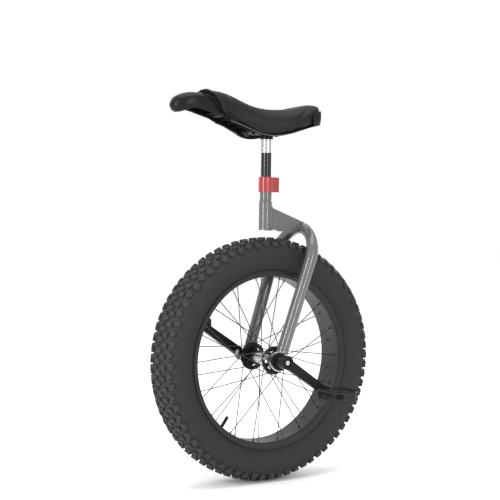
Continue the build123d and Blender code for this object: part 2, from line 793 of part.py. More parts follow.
def saddle_side(drop, lift):
    """Solid between the saddle's lower edge and its ridge, wider than the saddle."""
    low = saddle_bottom(lift)
    high = saddle_top(drop)
    face = make_face(Curve() + [low, high, Line(low @ 0, high @ 0), Line(low @ 1, high @ 1)])
    return extrude(Plane.XZ * face, amount=110, both=True)


def moved_inwards(points, inset):
    """Points of a half outline, nose to tail, each moved square to the line through its neighbours."""
    before = [(points[1][0], -points[1][1])] + points[:-1]
    after = points[1:] + [(points[-2][0], -points[-2][1])]
    moved = []
    for (x, y), (x0, y0), (x1, y1) in zip(points, before, after):
        run = hypot(x1 - x0, y1 - y0)
        moved.append((x - inset * (y1 - y0) / run, y + inset * (x1 - x0) / run))
    return moved


def saddle_plan(inset):
    """Saddle seen from above: narrow and rounded in front, broad behind."""
    right = [(258, 0), (250, 18), (225, 31), (180, 35), (130, 38), (85, 44), (40, 57), (0, 71),
             (-40, 79), (-80, 79), (-108, 66), (-117, 40), (-119, 0)]
    right = moved_inwards(right, inset)
    arcs = [ThreePointArc(*right[i:i + 3]) for i in range(0, len(right) - 2, 2)]
    outline = make_face(Curve() + arcs + [mirror(arc, about=Plane.XZ) for arc in arcs])
    return Pos(0, 0, 480) * extrude(outline, amount=200)


def front_cut(shift):
    """Everything ahead of the pad's slanting front edge, moved forward by a shift."""
    edge = [(112, 520), (124, 553), (142, 569), (158, 583), (176, 603), (200, 616), (212, 640)]
    edge = [(x + shift, z) for x, z in edge]
    face = make_face(Polyline((300, 520), *edge, (300, 640), close=True))
    return extrude(Plane.XZ * face, amount=110, both=True)


def rear_cut(grow):
    """The tail's bumper space: behind a line, and below another."""
    x = -117 + bumper_reach + grow
    z = 553 + bumper_rise + grow
    return block(-140, x, -110, 110, 500, z)


def make_saddle():
    base_top = base_skirt + base_wall
    pad_ahead = front_cut(0)
    plan_base = saddle_plan(cover_thickness + cover_to_base + 2.5)
    plan_base_in = saddle_plan(cover_thickness + cover_to_base + 2.5 + base_wall)
    behind_nose = block(-140, 186, -110, 110, 480, 700)
    base_band = saddle_side(0, 1.0) - saddle_side(-60, base_top)
    hollow = saddle_side(-60, -40) - saddle_side(-60, base_skirt)
    envelope = base_band & plan_base & behind_nose
    base = envelope - (hollow & plan_base_in)
    half_x, half_y = bracket_length / 2 + 3, bracket_width / 2 + 3
    pad_floor = post_top + bracket_thickness + 0.02
    seat = block(bracket_middle - half_x, bracket_middle + half_x, -half_y, half_y, pad_floor, pad_floor + 60)
    base = base + (seat & envelope)
    inserts = []
    for x, y in saddle_bolt_spots():
        base -= post(insert_radius + press_clearance, pad_floor - 1, pad_floor + insert_length + 0.2, x, y)
        insert = post(insert_radius, pad_floor, pad_floor + insert_length, x, y)
        inserts.append(insert - post(saddle_bolt_radius + thread_clearance, pad_floor - 1, pad_floor + 10, x, y))
    plan_foam = saddle_plan(cover_thickness + foam_gap)
    pad_in = saddle_side(cover_thickness + foam_gap, base_top + foam_gap) & plan_foam
    foam = pad_in - front_cut(-handle_gap - cover_thickness) - rear_cut(handle_gap + cover_thickness)
    cover_outer = saddle_side(0, 2.0) & saddle_plan(0)
    cover_inner = saddle_side(cover_thickness, -40) & saddle_plan(cover_thickness)
    cover = (cover_outer - cover_inner) - front_cut(-handle_gap) - rear_cut(handle_gap)
    return base, inserts, foam, cover, pad_ahead


def make_handle(pad_ahead):
    """Moulded grab handle around the saddle's nose, open below for the fingers."""
    outer = saddle_side(0, 1.5) & saddle_plan(0) & pad_ahead
    inner = saddle_side(handle_wall, -40) & saddle_plan(handle_wall)
    handle = outer - inner
    side_arch = make_face(Curve() + [
        ThreePointArc((178, 540), (206, 577), (236, 540)), Line((178, 540), (236, 540)),
    ])
    handle -= extrude(Plane.XZ * side_arch, amount=110, both=True)
    return max(handle.solids(), key=lambda solid: solid.volume)


def make_bumper():
    shell = saddle_side(0, 0.5) & saddle_plan(0)
    shell -= saddle_side(-60, -40) & saddle_plan(bumper_wall)
    shell &= rear_cut(0)
    return max(shell.solids(), key=lambda solid: solid.volume)


# ---------------------------------------------------------------- all nodes
def write_wheel():
    lines = spoke_lines()
    write("tyre", axle * make_tyre())
    write("inner_tube", axle * make_inner_tube())
    write("rim_strip", axle * make_strip())
    write("rim", axle * make_rim(lines))
    write("rim_joint_sleeve", axle * make_joint_sleeve())
    write("spokes_left", *[axle * make_spoke(line) for line in lines if line[3] > 0])
    write("spokes_right", *[axle * make_spoke(line) for line in lines if line[3] < 0])
    nipple = make_nipple()
    write("spoke_nipples", *[axle * place_nipple(nipple, line) for line in lines])
    stem, cap = make_valve()
    write("valve_stem", axle * stem)
    write("valve_cap", axle * cap)
    write("hub_shell", axle * ring(hub_shell_radius, spindle_radius + press_clearance, -flange_face, flange_face))
    left, right = mirrored_pair(make_flange())
    write("left_hub_flange", axle * left)
    write("right_hub_flange", axle * Rot(0, -360.0 / spoke_count, 0) * right)
    write("spindle", axle * crank_frame() * make_spindle())
    outer, inner, balls = make_races()
    write("bearing_outer_races", *[axle * piece for piece in mirrored_pair(outer)])
    write("bearing_inner_races", *[axle * piece for piece in mirrored_pair(inner)])
    write("bearing_balls", *[axle * piece for ball in balls for piece in mirrored_pair(ball)])
    write("bearing_seals", *[axle * piece for seal in make_seals() for piece in mirrored_pair(seal)])
    hub_spacer, crank_spacer = make_spacers()
    write("hub_spacers", *[axle * piece for piece in mirrored_pair(hub_spacer)])
    write("crank_spacers", *[axle * piece for piece in mirrored_pair(crank_spacer)])
    crank = crank_frame() * make_crank()
    bolt = crank_frame() * make_crank_bolt()
    write("left_crank", axle * crank)
    write("right_crank", axle * far_side(crank))
    write("crank_bolts", axle * bolt, axle * far_side(bolt))


def write_pedals():
    end = polar(crank_length, crank_angle, 0)
    pedal_axle, nut = make_pedal_axle()
    cage = make_pedal_cage()
    for name, side in (("left", lambda piece: axle * piece), ("right", lambda piece: axle * far_side(piece))):
        place = Pos(end)
        write(f"{name}_pedal_axle", side(place * pedal_axle))
        write(f"{name}_pedal_nut", side(place * nut))
        write(f"{name}_pedal_cage", side(place * cage))
        write(f"{name}_pedal_bushes", *[side(place * bush) for bush in make_bushes()])
        write(f"{name}_pedal_cap", side(place * make_end_cap()))


def write_frame():
    write("fork_tube", axle * make_fork())
    housing, cap, bolts = make_housing()
    for name, piece in zip(("left", "right"), mirrored_pair(housing)):
        write(f"{name}_bearing_housing", axle * piece)
    for name, piece in zip(("left", "right"), mirrored_pair(cap)):
        write(f"{name}_bearing_cap", axle * piece)
    write("bearing_cap_bolts", *[axle * piece for bolt in bolts for piece in mirrored_pair(bolt)])
    write("seat_tube", axle * make_seat_tube())
    write("crown_arm", axle * make_arm())
    clamp, clamp_bolts = make_clamp()
    write("seat_clamp", axle * clamp)
    write("clamp_bolts", *[axle * bolt for bolt in clamp_bolts])


def write_seat():
    write("seat_post", axle * make_post())
    write("post_sleeve", axle * make_sleeve())
    bracket, bolts = make_bracket()
    write("saddle_bracket", axle * bracket)
    write("saddle_bolts", *[axle * bolt for bolt in bolts])
    base, inserts, foam, cover, pad_ahead = make_saddle()
    write("saddle_base", axle * base)
    write("saddle_inserts", *[axle * insert for insert in inserts])
    write("saddle_foam", axle * foam)
    write("saddle_cover", axle * cover)
    write("front_handle", axle * make_handle(pad_ahead))
    write("rear_bumper", axle * make_bumper())


os.makedirs("parts", exist_ok=True)
write_wheel()
write_pedals()
write_frame()
write_seat()
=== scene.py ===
"""Looks of a fat-tyre unicycle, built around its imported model.

Metres. +X points forward, +Y to the rider's left and +Z up, and the origin is on the ground,
straight below the axle. The tyre with its tread, the padded saddle with its shells, and the weld
beads are made here, on the bodies wheel, seat and frame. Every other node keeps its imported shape
and takes a finish.
"""

import json
import logging
import math
from dataclasses import dataclass, field
from enum import Enum
from typing import Iterable, Sequence

import bmesh
import bpy
import numpy as np
from mathutils import Matrix, Vector

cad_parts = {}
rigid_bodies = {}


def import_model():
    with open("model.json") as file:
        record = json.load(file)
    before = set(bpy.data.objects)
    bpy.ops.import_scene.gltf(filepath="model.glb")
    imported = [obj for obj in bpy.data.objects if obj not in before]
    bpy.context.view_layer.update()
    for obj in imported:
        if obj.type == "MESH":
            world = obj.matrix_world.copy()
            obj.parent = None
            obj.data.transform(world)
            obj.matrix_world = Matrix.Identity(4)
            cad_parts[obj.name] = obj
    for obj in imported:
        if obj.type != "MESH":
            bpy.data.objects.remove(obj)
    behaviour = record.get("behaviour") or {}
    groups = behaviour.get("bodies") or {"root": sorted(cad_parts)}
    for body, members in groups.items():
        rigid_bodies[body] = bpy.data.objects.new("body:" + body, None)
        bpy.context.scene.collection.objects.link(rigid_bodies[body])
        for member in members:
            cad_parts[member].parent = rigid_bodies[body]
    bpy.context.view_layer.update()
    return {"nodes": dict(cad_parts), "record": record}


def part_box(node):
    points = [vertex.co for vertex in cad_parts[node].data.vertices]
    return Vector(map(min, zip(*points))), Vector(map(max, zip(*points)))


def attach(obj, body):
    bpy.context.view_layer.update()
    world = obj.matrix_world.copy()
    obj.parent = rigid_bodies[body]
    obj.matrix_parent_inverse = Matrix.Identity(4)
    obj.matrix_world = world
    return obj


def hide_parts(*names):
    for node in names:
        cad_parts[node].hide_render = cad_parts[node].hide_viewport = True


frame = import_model()
NODES: dict[str, bpy.types.Object] = frame["nodes"]

logging.basicConfig(level=logging.INFO, format="%(name)s: %(message)s")
log = logging.getLogger("unicycle")

TYRE_LOW, TYRE_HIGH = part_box("tyre")
AXLE_HEIGHT: float = (TYRE_LOW.z + TYRE_HIGH.z) / 2
MM = 0.001


# ---------------------------------------------------------------- finishes
class NodeTree:
    """A node tree, with its nodes added and linked in one step."""

    def __init__(self, tree: bpy.types.NodeTree) -> None:
        """Hold the tree.

        Args:
            tree: A shader tree or a Geometry Nodes tree.
        """
        self.tree = tree

    def add(self, kind: str, sockets: dict | None = None, **settings) -> bpy.types.Node:
        """Add a node.

        Args:
            kind: The node's type, without its family's prefix where it is a geometry node.
            sockets: Input sockets by name or number, each with a value or an output to link.
            settings: The node's own properties.

        Returns:
            The new node.
        """
        family = "" if kind.startswith(("ShaderNode", "FunctionNode")) else "GeometryNode"
        node = self.tree.nodes.new(family + kind)
        for key, value in settings.items():
            setattr(node, key, value)
        for key, value in (sockets or {}).items():
            if isinstance(value, bpy.types.NodeSocket):
                self.tree.links.new(value, node.inputs[key])
            else:
                node.inputs[key].default_value = value
        return node

    def math(self, operation: str, first, second=0.0) -> bpy.types.NodeSocket:
        """Return the result of a sum on one or two values."""
        return self.add("ShaderNodeMath", {0: first, 1: second}, operation=operation).outputs[0]


class Wiring(NodeTree):
    """The nodes of one material, wired to its principled shader."""

    def __init__(self, name: str) -> None:
        """Start a material.

        Args:
            name: The material's name.
        """
        self.material = bpy.data.materials.new(name)
        self.material.use_nodes = True
        super().__init__(self.material.node_tree)
        self.shader = self.tree.nodes["Principled BSDF"]
        self.place = self.add("ShaderNodeTexCoord").outputs["Object"]

    def spread(self, value, low: float, high: float) -> bpy.types.NodeSocket:
        """Return a value from 0 to 1, stretched over low to high."""
        return self.add("ShaderNodeMapRange", {"Value": value, "To Min": low, "To Max": high}).outputs[0]

    def rise(self, value, start: float, full: float) -> bpy.types.NodeSocket:
        """Return 0 up to start and 1 from full, with a ramp between them."""
        ramp = self.add("ShaderNodeMapRange", {"Value": value, "From Min": start, "From Max": full})
        return ramp.outputs[0]

    def mix(self, share, first, second) -> bpy.types.NodeSocket:
        """Return a colour between two others.

        Args:
            share: How much of the second, from 0 to 1.
            first: The colour at 0.
            second: The colour at 1.

        Returns:
            The mixed colour.
        """
        return self.add("ShaderNodeMix", {0: share, 6: first, 7: second}, data_type="RGBA").outputs[2]

    def noise(self, scale: float, detail: float = 3.0, stretch: Sequence[float] = (1, 1, 1)):
        """Return a noise over the object.

        Args:
            scale: Its frequency, per metre.
            detail: Its finer octaves.
            stretch: How much denser it is along X, Y and Z.

        Returns:
            The noise's value.
        """
        mapped = self.add("ShaderNodeMapping", {"Vector": self.place, "Scale": stretch}).outputs[0]
        return self.add("ShaderNodeTexNoise", {"Vector": mapped, "Scale": scale, "Detail": detail}).outputs[0]

    def link(self, output: bpy.types.NodeSocket, socket: str) -> None:
        """Wire an output to one of the shader's sockets."""
        self.tree.links.new(output, self.shader.inputs[socket])


MADE: dict[str, bpy.types.Material] = {}


@dataclass(frozen=True)
class Finish:
    """A surface finish, with its colour in linear values and its patterns at real scale."""

    name: str
    colour: tuple[float, float, float]
    roughness: float
    metallic: float = 0.0
    coat: float = 0.0
    coat_roughness: float = 0.05
    specular: float = 0.5
    mottle: float = 0.12
    mottle_scale: float = 22.0
    uneven: float = 0.06
    pebbled: bool = False
    grain_scale: float = 900.0
    grain_depth: float = 0.00002
    stretch: tuple[float, float, float] = (1.0, 1.0, 1.0)

    def material(self) -> bpy.types.Material:
        """Return the finish's material, made once."""
        if self.name in MADE:
            return MADE[self.name]
        wiring = Wiring(self.name)
        MADE[self.name] = wiring.material
        shader = wiring.shader.inputs
        shader["Metallic"].default_value = self.metallic
        shader["Coat Weight"].default_value = self.coat
        shader["Coat Roughness"].default_value = self.coat_roughness
        shader["Specular IOR Level"].default_value = self.specular
        patches = wiring.noise(self.mottle_scale)
        wiring.link(self.paint(wiring, patches), "Base Color")
        wiring.link(self.gloss(wiring, patches), "Roughness")
        wiring.link(self.relief(wiring), "Normal")
        return wiring.material

    def shades(self) -> tuple[tuple[float, ...], tuple[float, ...]]:
        """Return the colour's darker and lighter shades."""
        dark = tuple(part * (1 - self.mottle) for part in self.colour) + (1.0,)
        light = tuple(part * (1 + self.mottle) for part in self.colour) + (1.0,)
        return dark, light

    def paint(self, wiring: Wiring, patches: bpy.types.NodeSocket) -> bpy.types.NodeSocket:
        """Return the base colour over the surface."""
        dark, light = self.shades()
        return wiring.mix(patches, dark, light)

    def gloss(self, wiring: Wiring, patches: bpy.types.NodeSocket) -> bpy.types.NodeSocket:
        """Return the roughness over the surface."""
        return wiring.spread(patches, self.roughness - self.uneven, self.roughness + self.uneven)

    def relief(self, wiring: Wiring) -> bpy.types.NodeSocket:
        """Return the bumped normal."""
        if self.pebbled:
            mapped = wiring.add("ShaderNodeMapping", {"Vector": wiring.place, "Scale": self.stretch})
            cells = wiring.add("ShaderNodeTexVoronoi", {
                "Vector": mapped.outputs[0], "Scale": self.grain_scale,
            })
            height = cells.outputs["Distance"]
        else:
            height = wiring.noise(self.grain_scale, 2.0, self.stretch)
        bump = wiring.add("ShaderNodeBump", {"Height": height, "Distance": self.grain_depth})
        return bump.outputs[0]


@dataclass(frozen=True)
class TyreFinish(Finish):
    """Tyre rubber, with moulded rings round the side walls and paler dust on the tread."""

    ring_pitch: float = 0.0016
    ring_depth: float = 0.00012
    tread_start: float = 0.256
    tread_full: float = 0.282
    tread_colour: tuple[float, float, float] = (0.036, 0.036, 0.035)

    def radius(self, wiring: Wiring) -> bpy.types.NodeSocket:
        """Return the distance from the axle."""
        centred = wiring.add("ShaderNodeMapping", {"Vector": wiring.place, "Location": (0, 0, -AXLE_HEIGHT)})
        flat = wiring.add("ShaderNodeVectorMath", {0: centred.outputs[0], 1: (1, 0, 1)}, operation="MULTIPLY")
        return wiring.add("ShaderNodeVectorMath", {0: flat.outputs[0]}, operation="LENGTH").outputs["Value"]

    def paint(self, wiring: Wiring, patches: bpy.types.NodeSocket) -> bpy.types.NodeSocket:
        """Return the base colour, paler towards the tread."""
        dark, light = self.shades()
        wall = wiring.mix(patches, dark, light)
        rise = wiring.rise(self.radius(wiring), self.tread_start, self.tread_full)
        worn = wiring.math("MULTIPLY", rise, wiring.spread(wiring.noise(90.0), 0.55, 1.0))
        return wiring.mix(worn, wall, self.tread_colour + (1.0,))

    def relief(self, wiring: Wiring) -> bpy.types.NodeSocket:
        """Return the normal, with rings round the axle under the rubber's grain."""
        turns = wiring.math("MULTIPLY", self.radius(wiring), 2 * math.pi / self.ring_pitch)
        rings = wiring.math("SINE", turns)
        ringed = wiring.add("ShaderNodeBump", {"Height": rings, "Distance": self.ring_depth})
        fine = wiring.noise(self.grain_scale, 3.0)
        bump = wiring.add("ShaderNodeBump", {
            "Height": fine, "Distance": self.grain_depth, "Normal": ringed.outputs[0],
        })
        return bump.outputs[0]


@dataclass(frozen=True)
class RimFinish(Finish):
    """Rim alloy: a satin bed between black side walls."""

    side_colour: tuple[float, float, float] = (0.012, 0.012, 0.012)
    side_from: float = 0.0395
    side_full: float = 0.0402

    def paint(self, wiring: Wiring, patches: bpy.types.NodeSocket) -> bpy.types.NodeSocket:
        """Return the bed's colour, black at the two side walls."""
        dark, light = self.shades()
        bed = wiring.mix(patches, dark, light)
        across = wiring.add("ShaderNodeSeparateXYZ", {0: wiring.place}).outputs["Y"]
        side = wiring.rise(wiring.math("ABSOLUTE", across), self.side_from, self.side_full)
        return wiring.mix(side, bed, self.side_colour + (1.0,))


RUBBER = TyreFinish("tyre_rubber", (0.016, 0.016, 0.016), 0.62, specular=0.28, mottle=0.18,
                    mottle_scale=14, uneven=0.1, grain_scale=1500, grain_depth=0.00006)
SKIN = Finish("saddle_skin", (0.0085, 0.0085, 0.0085), 0.46, specular=0.17, mottle=0.16,
              mottle_scale=16, uneven=0.06, pebbled=True, grain_scale=1100, grain_depth=0.00007)
SHELL = Finish("moulded_shell", (0.0065, 0.0065, 0.0065), 0.30, specular=0.15, mottle=0.14,
               mottle_scale=30, uneven=0.06, pebbled=True, grain_scale=1600, grain_depth=0.00004)
# Near-black and almost without reflection: the tray and ribs under the cushion, and the painted shadow line
# in front of the cushion's lip.
UNDERSIDE_AND_SHADOW = Finish("shell_inside", (0.0025, 0.0025, 0.0025), 0.6, specular=0.05, mottle=0.2,
                mottle_scale=30, pebbled=True, grain_scale=1600, grain_depth=0.00004)
THREAD = Finish("stitch_thread", (0.05, 0.05, 0.05), 0.6, grain_scale=4000, grain_depth=0.00005)
WELD = Finish("weld_paint", (0.11, 0.11, 0.108), 0.22, coat=0.5, mottle=0.1, grain_scale=700,
              grain_depth=0.00006)
TRIM = Finish("edge_trim", (0.05, 0.05, 0.05), 0.34, specular=0.5, mottle=0.08, grain_scale=2000,
              grain_depth=0.00002)

SLOT_FINISHES: dict[str, Finish] = {
    "frame_paint": Finish("frame_paint", (0.082, 0.082, 0.080), 0.24, coat=0.7, mottle=0.04,
                          mottle_scale=12, uneven=0.03, grain_scale=420, grain_depth=0.00001),
    "polished_alloy": Finish("polished_alloy", (0.50, 0.50, 0.485), 0.20, metallic=1.0, mottle=0.05,
                             grain_scale=260, stretch=(1, 14, 1), grain_depth=0.000012),
    "clamp_red": Finish("clamp_red", (0.30, 0.016, 0.018), 0.27, coat=0.4, mottle=0.08, grain_scale=500,
                        stretch=(1, 1, 6), grain_depth=0.000015),
    "black_gloss_paint": Finish("black_gloss_paint", (0.006, 0.006, 0.006), 0.16, coat=0.4,
                                specular=0.25, mottle=0.05, uneven=0.03, grain_scale=500,
                                grain_depth=0.000006),
    "black_satin_metal": Finish("black_satin_metal", (0.0075, 0.0075, 0.0075), 0.36, specular=0.16,
                                mottle=0.12, uneven=0.07, grain_scale=1400, grain_depth=0.00002),
    "bolt_chrome": Finish("bolt_chrome", (0.62, 0.62, 0.61), 0.14, metallic=1.0, mottle=0.04,
                          grain_scale=800, grain_depth=0.000006),
    "bolt_black": Finish("bolt_black", (0.02, 0.02, 0.02), 0.38, metallic=0.6, mottle=0.15,
                         grain_scale=1600, grain_depth=0.00002),
    "steel": Finish("ground_steel", (0.52, 0.52, 0.51), 0.26, metallic=1.0, mottle=0.08,
                    grain_scale=300, stretch=(1, 12, 1), grain_depth=0.00002),
    "spoke_black": Finish("spoke_black", (0.014, 0.014, 0.014), 0.34, specular=0.3, mottle=0.1,
                          grain_scale=2500, grain_depth=0.000008),
    "nipple_brass": Finish("nipple_brass", (0.30, 0.28, 0.24), 0.32, metallic=1.0, mottle=0.1,
                           grain_scale=2000, grain_depth=0.00001),
    "insert_brass": Finish("insert_brass", (0.60, 0.45, 0.20), 0.3, metallic=1.0, mottle=0.1,
                           grain_scale=1500, grain_depth=0.00001),
    "rim_alloy": RimFinish("rim_alloy", (0.028, 0.028, 0.028), 0.40, specular=0.35, metallic=0.2,
                           mottle=0.08, uneven=0.05, grain_scale=200, stretch=(1, 20, 1),
                           grain_depth=0.00002),
    "tyre_rubber": RUBBER,
    "soft_rubber": Finish("soft_rubber", (0.014, 0.014, 0.014), 0.55, specular=0.22, mottle=0.15,
                          grain_scale=1800, grain_depth=0.00004),
    "saddle_skin": SKIN,
    "saddle_padding": Finish("saddle_foam", (0.09, 0.09, 0.09), 0.9, pebbled=True, grain_scale=600,
                             grain_depth=0.0003),
    "saddle_plastic": SHELL,
    "pedal_plastic": Finish("pedal_plastic", (0.014, 0.014, 0.014), 0.42, specular=0.24, mottle=0.14,
                            mottle_scale=45, uneven=0.07, pebbled=True, grain_scale=1900,
                            grain_depth=0.00003),
}


# ---------------------------------------------------------------- mesh helpers
def linked(name: str, data: bpy.types.ID) -> bpy.types.Object:
    """Put an object with this mesh, light or camera in the scene, at the origin."""
    piece = bpy.data.objects.new(name, data)
    bpy.context.scene.collection.objects.link(piece)
    return piece


def new_mesh(name: str, points, faces, smooth: bool = True) -> bpy.types.Object:
    """Make an object from points and faces, with its faces turned outwards.

    Args:
        name: The object's name.
        points: The vertices, in the row frame.
        faces: Tuples of vertex numbers.
        smooth: Whether the faces are shaded smooth.

    Returns:
        The linked object, at the origin.
    """
    mesh = bpy.data.meshes.new(name)
    mesh.from_pydata([tuple(map(float, point)) for point in points], [], faces)
    work = bmesh.new()
    work.from_mesh(mesh)
    bmesh.ops.remove_doubles(work, verts=work.verts, dist=1e-6)
    bmesh.ops.recalc_face_normals(work, faces=work.faces)
    work.to_mesh(mesh)
    work.free()
    for polygon in mesh.polygons:
        polygon.use_smooth = smooth
    return linked(name, mesh)


def grid_faces(rows: int, columns: int, wrap_rows: bool = False, wrap_columns: bool = False) -> list:
    """Number the four-sided faces of a grid.

    Args:
        rows: Rows of vertices.
        columns: Vertices in each row.
        wrap_rows: Whether the last row joins the first.
        wrap_columns: Whether each row is a ring.

    Returns:
        The faces.
    """
    faces = []
    for row in range(rows if wrap_rows else rows - 1):
        after = (row + 1) % rows
        for column in range(columns if wrap_columns else columns - 1):
            beside = (column + 1) % columns
            faces.append((row * columns + column, row * columns + beside,
                          after * columns + beside, after * columns + column))
    return faces


def loft(name: str, rings: np.ndarray) -> bpy.types.Object:
    """Make a skin through rings of points, closed at both ends.

    Args:
        name: The object's name.
        rings: An array of rings, points and coordinates.

    Returns:
        The lofted object.
    """
    count, around, _ = rings.shape
    faces = grid_faces(count, around, wrap_columns=True)
    faces.append(tuple(range(around)))
    faces.append(tuple(range((count - 1) * around, count * around)))
    return new_mesh(name, rings.reshape(-1, 3), faces)


def revolved(name: str, outline: Sequence[tuple[float, float]], steps: int) -> bpy.types.Object:
    """Turn a closed outline about the axle.

    Args:
        name: The object's name.
        outline: Points along the axle and away from it.
        steps: Divisions of the turn.

    Returns:
        The closed ring.
    """
    angles = np.linspace(0, 2 * math.pi, steps, endpoint=False)
    across = np.array([point[0] for point in outline])
    away = np.array([point[1] for point in outline])
    rings = np.stack([
        away * np.cos(angles)[:, None],
        np.broadcast_to(across, (steps, len(outline))),
        away * np.sin(angles)[:, None] + AXLE_HEIGHT,
    ], axis=-1)
    return new_mesh(name, rings.reshape(-1, 3), grid_faces(steps, len(outline), True, True))


def settle(piece: bpy.types.Object) -> bpy.types.Object:
    """Turn an object's modifiers into a plain mesh.

    Args:
        piece: The object.

    Returns:
        The same object, with its final mesh and no modifiers.
    """
    depsgraph = bpy.context.evaluated_depsgraph_get()
    final = bpy.data.meshes.new_from_object(piece.evaluated_get(depsgraph), depsgraph=depsgraph)
    piece.modifiers.clear()
    piece.data = final
    return piece


def subdivided(piece: bpy.types.Object, levels: int) -> bpy.types.Object:
    """Smooth a piece by subdivision, at the same level in view and render."""
    modifier = piece.modifiers.new("rounding", "SUBSURF")
    modifier.levels = modifier.render_levels = levels
    return settle(piece)


def walled(piece: bpy.types.Object, thickness: float) -> bpy.types.Object:
    """Give an open skin a wall, inwards from its faces."""
    modifier = piece.modifiers.new("wall", "SOLIDIFY")
    modifier.thickness = thickness
    modifier.offset = -1
    modifier.use_even_offset = True
    return settle(piece)


def put(piece: bpy.types.Object, body: str, finish: Finish,
        stands_for: Iterable[str] = ()) -> None:
    """Dress a finished piece and give it to its body.

    Args:
        piece: The piece, in place.
        body: The body that it rides on.
        finish: Its finish.
        stands_for: The CAD nodes that it replaces.
    """
    piece.data.materials.clear()
    piece.data.materials.append(finish.material())
    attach(piece, body)
    for node in stands_for:
        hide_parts(node)
    log.info("%s rides on %s, %d faces", piece.name, body, len(piece.data.polygons))


def boxes(name: str, parts: Sequence[tuple], bevel: float) -> bpy.types.Object:
    """Make several bevelled boxes as one object.

    Args:
        name: The object's name.
        parts: For each box, its limits along X, Y and Z.
        bevel: The width of its rounded edges.

    Returns:
        The object.
    """
    points, faces = [], []
    corners = [(0, 0, 0), (1, 0, 0), (1, 1, 0), (0, 1, 0), (0, 0, 1), (1, 0, 1), (1, 1, 1), (0, 1, 1)]
    sides = [(0, 3, 2, 1), (4, 5, 6, 7), (0, 1, 5, 4), (1, 2, 6, 5), (2, 3, 7, 6), (3, 0, 4, 7)]
    for part in parts:
        first = len(points)
        points += [tuple(part[axis][corner[axis]] for axis in range(3)) for corner in corners]
        faces += [tuple(first + number for number in side) for side in sides]
    piece = new_mesh(name, points, faces, smooth=False)
    modifier = piece.modifiers.new("edges", "BEVEL")
    modifier.width, modifier.segments = bevel, 2
    return settle(piece)


def tube(name: str, line: Sequence[Vector], radius: float, around: int = 10) -> bpy.types.Object:
    """Make a closed round tube along a line.

    Args:
        name: The object's name.
        line: Its centre line.
        radius: Its radius.
        around: Its points round each ring.

    Returns:
        The tube.
    """
    rings = []
    for number, point in enumerate(line):
        before, after = line[max(number - 1, 0)], line[min(number + 1, len(line) - 1)]
        onward = (after - before).normalized()
        side = onward.cross(Vector((0, 0, 1))).normalized()
        up = side.cross(onward)
        rings.append([point + radius * (math.cos(turn) * side + math.sin(turn) * up)
                      for turn in np.linspace(0, 2 * math.pi, around, endpoint=False)])
    return loft(name, np.array([[tuple(point) for point in ring] for ring in rings]))


def pan_screw(place: tuple, hand: int, radius: float) -> bpy.types.Object:
    """Make a domed screw head with a cross recess, facing sideways.

    Args:
        place: The middle of its seat.
        hand: 1 where it faces +Y, or -1.
        radius: Its head's radius.

    Returns:
        The screw.
    """
    around = 24
    levels = ((-0.0015, 1.0), (0.0004, 1.0), (0.0011, 0.86), (0.0015, 0.55), (0.0016, 0.42), (0.0008, 0.30),
              (0.0006, 0.02))
    rings = []
    for out, wide in levels:
        ring = []
        for step in range(around):
            turn = 2 * math.pi * step / around
            share = wide
            if wide < 0.5:
                share *= 0.62 + 0.38 * abs(math.cos(2 * turn))
            ring.append((place[0] + radius * share * math.cos(turn), place[1] + hand * out,
                         place[2] + radius * share * math.sin(turn)))
        rings.append(ring)
    return loft("screw", np.array(rings))


def joined(name: str, pieces: Sequence[bpy.types.Object]) -> bpy.types.Object:
    """Join several objects into one.

    Args:
        name: The new object's name.
        pieces: The objects, which are removed.

    Returns:
        The one object.
    """
    work = bmesh.new()
    for piece in pieces:
        work.from_mesh(piece.data)
    mesh = bpy.data.meshes.new(name)
    work.to_mesh(mesh)
    work.free()
    discard(*pieces)
    return linked(name, mesh)


class Track:
    """A smooth curve through points, read by its first coordinate."""

    def __init__(self, *points: tuple[float, float]) -> None:
        """Hold the points and the curve's slope at each of them.

        Args:
            points: Pairs in millimetres, in rising order.
        """
        self.at = np.array([point[0] for point in points], float) * MM
        self.value = np.array([point[1] for point in points], float) * MM
        self.slope = np.gradient(self.value, self.at)

    def __call__(self, place) -> np.ndarray:
        """Return the curve's value at a place, or at each of several."""
        x = np.clip(np.asarray(place, float), self.at[0], self.at[-1])
        k = np.clip(np.searchsorted(self.at, x, side="right") - 1, 0, len(self.at) - 2)
        run = self.at[k + 1] - self.at[k]
        t = (x - self.at[k]) / run
        start, end = self.value[k], self.value[k + 1]
        lead, trail = self.slope[k] * run, self.slope[k + 1] * run
        return ((2 * t**3 - 3 * t**2 + 1) * start + (t**3 - 2 * t**2 + t) * lead
                + (3 * t**2 - 2 * t**3) * end + (t**3 - t**2) * trail)


